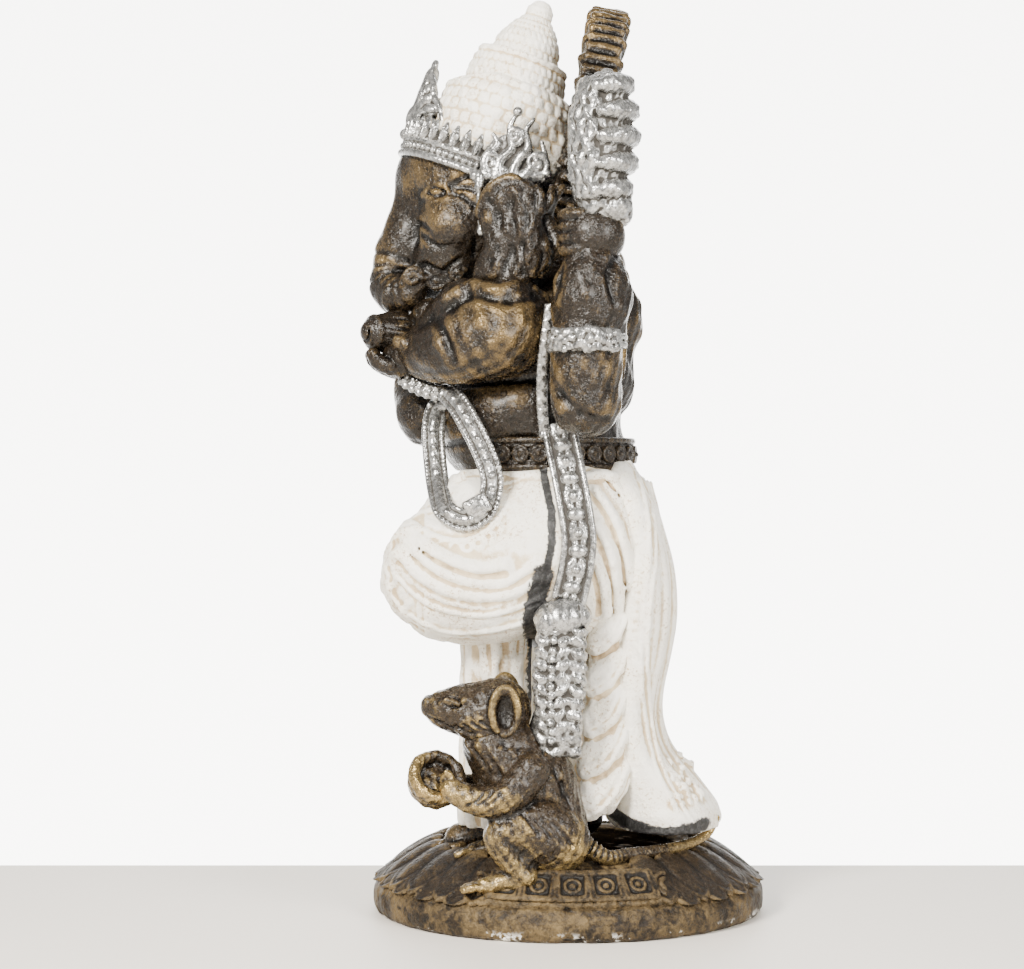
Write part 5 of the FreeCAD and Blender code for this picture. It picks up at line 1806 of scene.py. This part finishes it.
def mouse_head():
    """A blunt muzzle raised to the front, almond eyes and curled ears."""
    clay = clay_of("mouse_head", step=0.4, grow=5)
    clay.join(egg((49, -26, 80), (11.5, 11.5, 12)), 1)
    muzzle = [(49.2, -30, 80.5), (49.3, -38, 80.6), (49.5, -45.5, 80.8), (49.6, -50, 81.6)]
    clay.join(strand(muzzle, [10.6, 9.8, 7.4, 4.8], 6), 3)
    for s in (-1, 1):
        clay.join(egg((49.2 + s * 5.5, -33, 76.5), (5.6, 9.5, 7)), 3)
    clay.join(egg((49.6, -52.2, 83.4), (3.4, 2.4, 2.6)), 1)
    clay.swell(wobble(0.3, 9))
    for s in (-1, 1):
        x = 49.4 + s * 30
        toward = (-s, 0, 0)
        mouth = clay.trace(flank(x, [(-52.5, 78.6), (-48, 76.6), (-42.5, 74.4), (-38, 74.6)]), toward)
        clay.carve(rope(mouth, 0.6), 0.9)
        clay.carve(ball((49.5 + s * 2.2, -54.0, 83.6), 0.8), 0.5)
        eye = clay.land([(x, -43.2, 84.0)], toward)[0]
        clay.carve(egg(eye, (1.5, 4.2, 2.2), (-10, 0, 0)), 1.2)
        clay.join(egg(eye - vec([s * 0.3, 0, 0]), (1.5, 2.8, 1.4), (-10, 0, 0)), 0.3)
        for dz in (2.2, -2.0):
            lid = clay.trace(flank(x, [(-47.4, 83.4), (-43.2, 84.0 + dz), (-38.6, 84.9)]), toward)
            clay.join(rope(lid, 0.45), 1.2)
        fur(clay, [flank(x, [(-33 - 3 * i, 77.5 - 0.6 * i), (-29.5 - 3 * i, 75.2 - 0.6 * i),
                             (-26 - 3 * i, 74.0 - 0.4 * i)])
                   for i in range(4)], toward, 0.4, 1.0)
        ear_c = vec([49.2 + s * 9.6, -24.5, 81.0 if s > 0 else 84.0])
        ear_turn = (0, 0, s * 16)
        clay.join(egg(ear_c, (2.6, 5.6, 9.2), ear_turn), 1.4)
        clay.carve(egg(ear_c + vec([s * 2.6, 0.9, -0.4]), (3.6, 3.9, 6.9), ear_turn), 1.0)
        rim = [ear_c + turned(ear_turn) @ vec([s * 1.2, 5.2 * cos(a), 8.6 * sin(a)]) for a in np.linspace(-1.7,
                                                                                                          4.1,
                                                                                                          34)]
        clay.join(strand(rim, [0.7, 0.95, 1.0, 0.95, 0.7], 1), 1.4)
    whorl = clay.trace([(49.2, -45, 120), (49.2, -34, 120), (49.2, -26, 120)], (0, 0, -1))
    clay.carve(rope(whorl, 0.4), 1.4)
    piece("mouse_head_casting", clay, "mouse", "mouse_head")


def mouse_paw(clay, at, forward, spread, radius=1.5, reach=5.0, toes=4):
    forward, spread = vec(forward), vec(spread)
    for i in range(toes):
        k = i - (toes - 1) / 2
        root = vec(at) + spread * k * 1.3
        tip = vec(at) + forward * (reach - 0.5 * abs(k)) + spread * k * 2.3
        clay.join(strand([root, (root + tip) / 2 + vec([0, 0, 0.5]), tip],
                         [radius, radius * 0.9, radius * 0.72], 3), 0.5)


def mouse_limbs():
    clay = clay_of("mouse_limbs", step=0.42, grow=5)

    def leg(points, radii, blend, count=6):
        clay.join(strand(points, radii, count), blend)

    leg([(59, -15, 59), (62.5, -22, 51.5), (63, -29, 49), (62, -37, 50), (60.5, -43.5, 53)],
        [7.6, 6.6, 6.0, 5.2, 4.2], 1)
    leg([(37, -16, 58), (33, -23, 51), (33.5, -31, 49.5), (38.5, -38, 51), (42.5, -42, 53)],
        [7.2, 6.2, 5.6, 4.8, 3.8], 1)
    mouse_paw(clay, (60.3, -43.5, 54.5), (-0.15, -0.75, 0.6), (0.35, 0.25, 0.8), 1.6, 4.0)
    mouse_paw(clay, (43, -42, 55), (0.25, -0.75, 0.6), (-0.35, 0.25, 0.8), 1.5, 3.8)
    clay.join(egg((58.5, -11, 37), (8.8, 15, 12.5), (-10, 0, 0)), 2)
    leg([(60, -18, 39), (62.3, -25.5, 36.5), (62.8, -23, 29), (62.3, -16.5, 21.8)], [8.0, 6.4, 4.8, 3.9], 3)
    leg([(62.3, -16.5, 21.6), (62, -25, 19.8), (61.6, -32, 18.5)], [3.9, 3.3, 2.9], 1.2, 5)
    mouse_paw(clay, (61.5, -32, 17.9), (0, -1, -0.08), OUTWARDS, 1.7, 7.5)
    leg([(36, -15, 40), (32.5, -24, 35), (32.5, -26, 28.5)], [8.5, 6.6, 4.8], 2)
    leg([(32.5, -25, 28), (33, -32, 26.8), (33, -36, 26.2)], [4.6, 4.0, 3.4], 1.2, 4)
    mouse_paw(clay, (33, -36, 26), (0, -1, -0.1), OUTWARDS, 1.7, 6.5)
    clay.swell(wobble(0.25, 8))
    fur(clay, [flank(85, [(-19 + 4 * i, 46 - 1.5 * i), (-15 + 4 * i, 42 - 1.5 * i),
                          (-12 + 4 * i, 38 - 1.5 * i)])
               for i in range(4)], INWARDS, 0.4, 1.4)
    fur(clay, [flank(85, [(-26 - 3 * i, 52.5), (-28 - 3 * i, 50), (-31 - 3 * i, 48.4)]) for i in range(3)],
        INWARDS, 0.35, 1.0)
    clay.keep(slab((47, -20, 55), (60, 60, 41), soft=0.3))
    piece("mouse_limbs_casting", clay, "mouse", "mouse_limbs")


def mouse_bowl():
    """A deep, thick-rimmed bowl, tipped towards the side, with sweets in it."""
    clay = clay_of("mouse_bowl", step=0.4, grow=5)
    c = vec([51.5, -49.5, 55])
    tilt = (-17, 52, 0)
    m = turned(tilt)
    profile = [(0, -9), (5, -8.6), (8.6, -5.8), (10.3, -1), (10.3, 2.6), (9.0, 4.4), (7.2, 3.8), (6.0, 1.4),
               (4, 0.0), (0, -0.6)]
    clay.join(lathe(c, profile, tilt))
    clay.join(hoop(c + m[:, 2] * 2.8, 8.7, 2.1, tilt), 1.0)
    for r, count in ((0, 1), (3.4, 5)):
        for i in range(count):
            a = 2 * pi * i / count + 0.4
            p = c + m[:, 0] * r * cos(a) + m[:, 1] * r * sin(a) + m[:, 2] * (0.9 - 0.1 * r)
            clay.join(egg(p, (2.7, 2.7, 1.7), tilt), 1.6)
    clay.swell(wobble(0.35, 7))
    piece("mouse_bowl_of_sweets", clay, "mouse", "mouse_bowl")


def mouse_tail():
    clay = clay_of("mouse_tail", step=0.4, grow=4)
    points = [(51, 1, 34), (51, 8, 29.5), (49.5, 14, 26.6), (45, 21, 27), (38, 33, 27.4), (29, 44, 28.3),
              (21, 52, 31), (17, 56, 36.5)]
    clay.join(strand(points, [4.4, 3.4, 2.9, 2.5, 2.2, 2.0, 1.7, 1.3], 6), 1)
    line = even(smooth(points, 6), 2.2)
    for p, q in zip(line[:-1], line[1:]):
        t = (q - p) / np.linalg.norm(q - p)
        u = np.cross(t, (0, 0, 1))
        u = u / np.linalg.norm(u)
        v = np.cross(u, t)
        arc = [p + (u * cos(a) + v * sin(a)) * 3.1 for a in np.linspace(-0.4, 3.5, 9)]
        clay.carve(rope(arc, 0.5), 0.5)
    piece("mouse_tail_casting", clay, "mouse", "mouse_tail")


# ------------------------------------------------------------------ the build
base_band()
lotus_ring()
lotus_petals()
tile_panels()
base_deck()

hips = dhoti()
back_drape()
side_cascade(1)
side_cascade(-1)
front_pleats()
# painted shadow: black down the left shin, between it and the tassel
pleated_leg("left_shin_pleats", "left_shin", 0.88, 3.0, painted_shadow_lines([([(-12, 108), (-13, 92), (-12, 80)], 6.0)]))
pleated_leg("right_leg_pleats", "right_leg")
foot("left_foot_casting", "left_foot")
foot("right_foot_casting", "right_foot")

chest = torso()
belt()
belt_medallions()
hair_locks()
halo()
head()
tusks()
ear(1)
ear(-1)
near_arm = front_left_arm()
front_left_hand()
modak()
front_right_arm()
front_right_hand()
for side in (1, -1):
    rear_arm(side)
    rear_hand(side)

sash(1, [hips, chest])
sash(-1, [hips, chest])
left_knot()
left_tassel()
loop_sash([hips, chest])
chest_strip([chest, near_arm])
armband("rear_left_armband_flowers", "rear_left_armband", 13.2, flower=0, lap=(130, 410))
armband("rear_right_armband_flowers", "rear_right_armband", 13.2, flower=180, lap=(140, 290))
armband("front_right_armband_flowers", "front_right_armband", 14.0, (55, -8, 0), None, at=(-34.5, -38, 204.5))
lotus_bud()
axe()
headdress_tier("lower_tier", 0.5, (0, -25.5, 299),
               [(0, -17), (24, -17), (26.6, -12), (27.2, 2), (26, 11), (23.5, 16.5), (20, 18.5), (0, 18.5)],
               (34, 4.6, 0.95), (0.6, ()), (0.4, 19), (egg((0, -8, 285), (20, 9, 12), (-19, 0, 0)), 6),
               slab((0, -25, 298), (60, 60, 20.5), soft=1.0))
headdress_tier("middle_tier", 0.45, (0, -20.3, 317.5),
               [(0, -9.5), (17.5, -9.5), (19.3, -6), (19.6, 0), (18.6, 6), (16.5, 9.5), (0, 9.5)],
               (40, 3.6, 0.8, 0.5), (0.6, ((-8.4, 18.4, 1.5), (8.6, 16.9, 1.3))), (0.3, 13))
headdress_tier("top", 0.42, (0, -16.0, 330),
               [(0, -7.5), (12, -7.5), (13.4, -3), (12.6, 3), (9.8, 8), (7.4, 10.5), (5.6, 13.5), (4.6, 17.5),
                (2.6, 20.2), (0, 21)],
               (28, 3.4, 0.75, 0.6), (0.5, ((-6.6, 12.6, 1.4), (9.6, 7.6, 1.1), (16.5, 4.4, 0.9))), None, None,
               slab((0, 0, corners("headdress_top")[1][2] - 20), (60, 60, 20), soft=0.5))
tiara_band()
tiara_crest()
ear_scroll(1)
ear_scroll(-1)
ear_pendants()

mouse_body()
mouse_head()
mouse_limbs()
mouse_bowl()
mouse_tail()


# ------------------------------------------------------------------ stage, light and camera
SHELF_REAR = -0.095            # the shelf ends just behind the figure, as in the photograph
SHELF_SIZE = (3.0, 6.0)
SHELF_DROP = 0.0002            # just under the casting, so that the two don't share a plane
FIGURE_MIDDLE = (0, 0, 0.17)
CAMERA_PLACE = (0.884, -0.0216, 0.1628)
CAMERA_LENS = 80.4
SOFT_WHITE, WARM_WHITE = (1.0, 0.97, 0.92), (1.0, 0.95, 0.87)


def placed(obj, location=(0, 0, 0)):
    bpy.context.scene.collection.objects.link(obj)
    obj.location = location
    return obj


def floor():
    look = Look("floor_look")
    colour = look.mix(look.noise(90, 3, 0.55), (0.74, 0.69, 0.62), (0.82, 0.78, 0.72))
    material = look.finish(colour, 0.0, 0.55, [(look.noise(1.2, 2), 0.02)])
    bpy.ops.mesh.primitive_plane_add(size=1.0, location=(SHELF_REAR + SHELF_SIZE[0] / 2, 0, -SHELF_DROP))
    plane = bpy.context.object
    plane.scale = (*SHELF_SIZE, 1)
    plane.name = "floor"
    plane.data.materials.append(material)


def lamp(name, location, size, power, colour=(1, 1, 1)):
    """A soft rectangular light aimed at the figure."""
    data = bpy.data.lights.new(name, "AREA")
    data.shape = "RECTANGLE"
    data.size, data.size_y = size
    data.energy = power
    data.color = colour
    aim = Vector(FIGURE_MIDDLE) - Vector(location)
    placed(bpy.data.objects.new(name, data), location).rotation_euler = aim.to_track_quat("-Z", "Y").to_euler()


def sky():
    """Soft light all round, brighter at the horizon, with a white wall far behind the figure."""
    world = bpy.data.worlds.new("studio")
    bpy.context.scene.world = world
    world.use_nodes = True
    nodes, links = world.node_tree.nodes, world.node_tree.links
    back = nodes["Background"]
    back.inputs["Color"].default_value = (1.0, 0.98, 0.94, 1)
    place = nodes.new("ShaderNodeTexCoord")
    axes = nodes.new("ShaderNodeSeparateXYZ")
    links.new(place.outputs["Generated"], axes.inputs[0])
    both = nodes.new("ShaderNodeMath")
    both.operation = "ADD"
    for i, (axis, *ends) in enumerate((("Z", -0.25, 0.35, 1.9, 0.5), ("X", -0.96, -0.86, 7.0, 0.0))):
        fade = nodes.new("ShaderNodeMapRange")
        fade.interpolation_type = "SMOOTHSTEP"
        links.new(axes.outputs[axis], fade.inputs["Value"])
        for key, value in zip(("From Min", "From Max", "To Min", "To Max"), ends):
            fade.inputs[key].default_value = value
        links.new(fade.outputs["Result"], both.inputs[i])
    links.new(both.outputs[0], back.inputs["Strength"])


def camera():
    data = bpy.data.cameras.new("camera")
    data.lens = CAMERA_LENS
    data.sensor_width = 36
    data.clip_start = 0.01
    obj = placed(bpy.data.objects.new("camera", data), CAMERA_PLACE)
    obj.rotation_euler = (pi / 2, 0, pi / 2)
    bpy.context.scene.camera = obj


floor()
sky()
lamp("key", (0.85, -0.55, 0.7), (0.28, 0.28), 37, WARM_WHITE)
lamp("fill", (0.85, 0.6, 0.5), (0.35, 0.35), 17, SOFT_WHITE)
lamp("rim", (-0.8, 0.1, 0.9), (0.8, 0.6), 6)
camera()
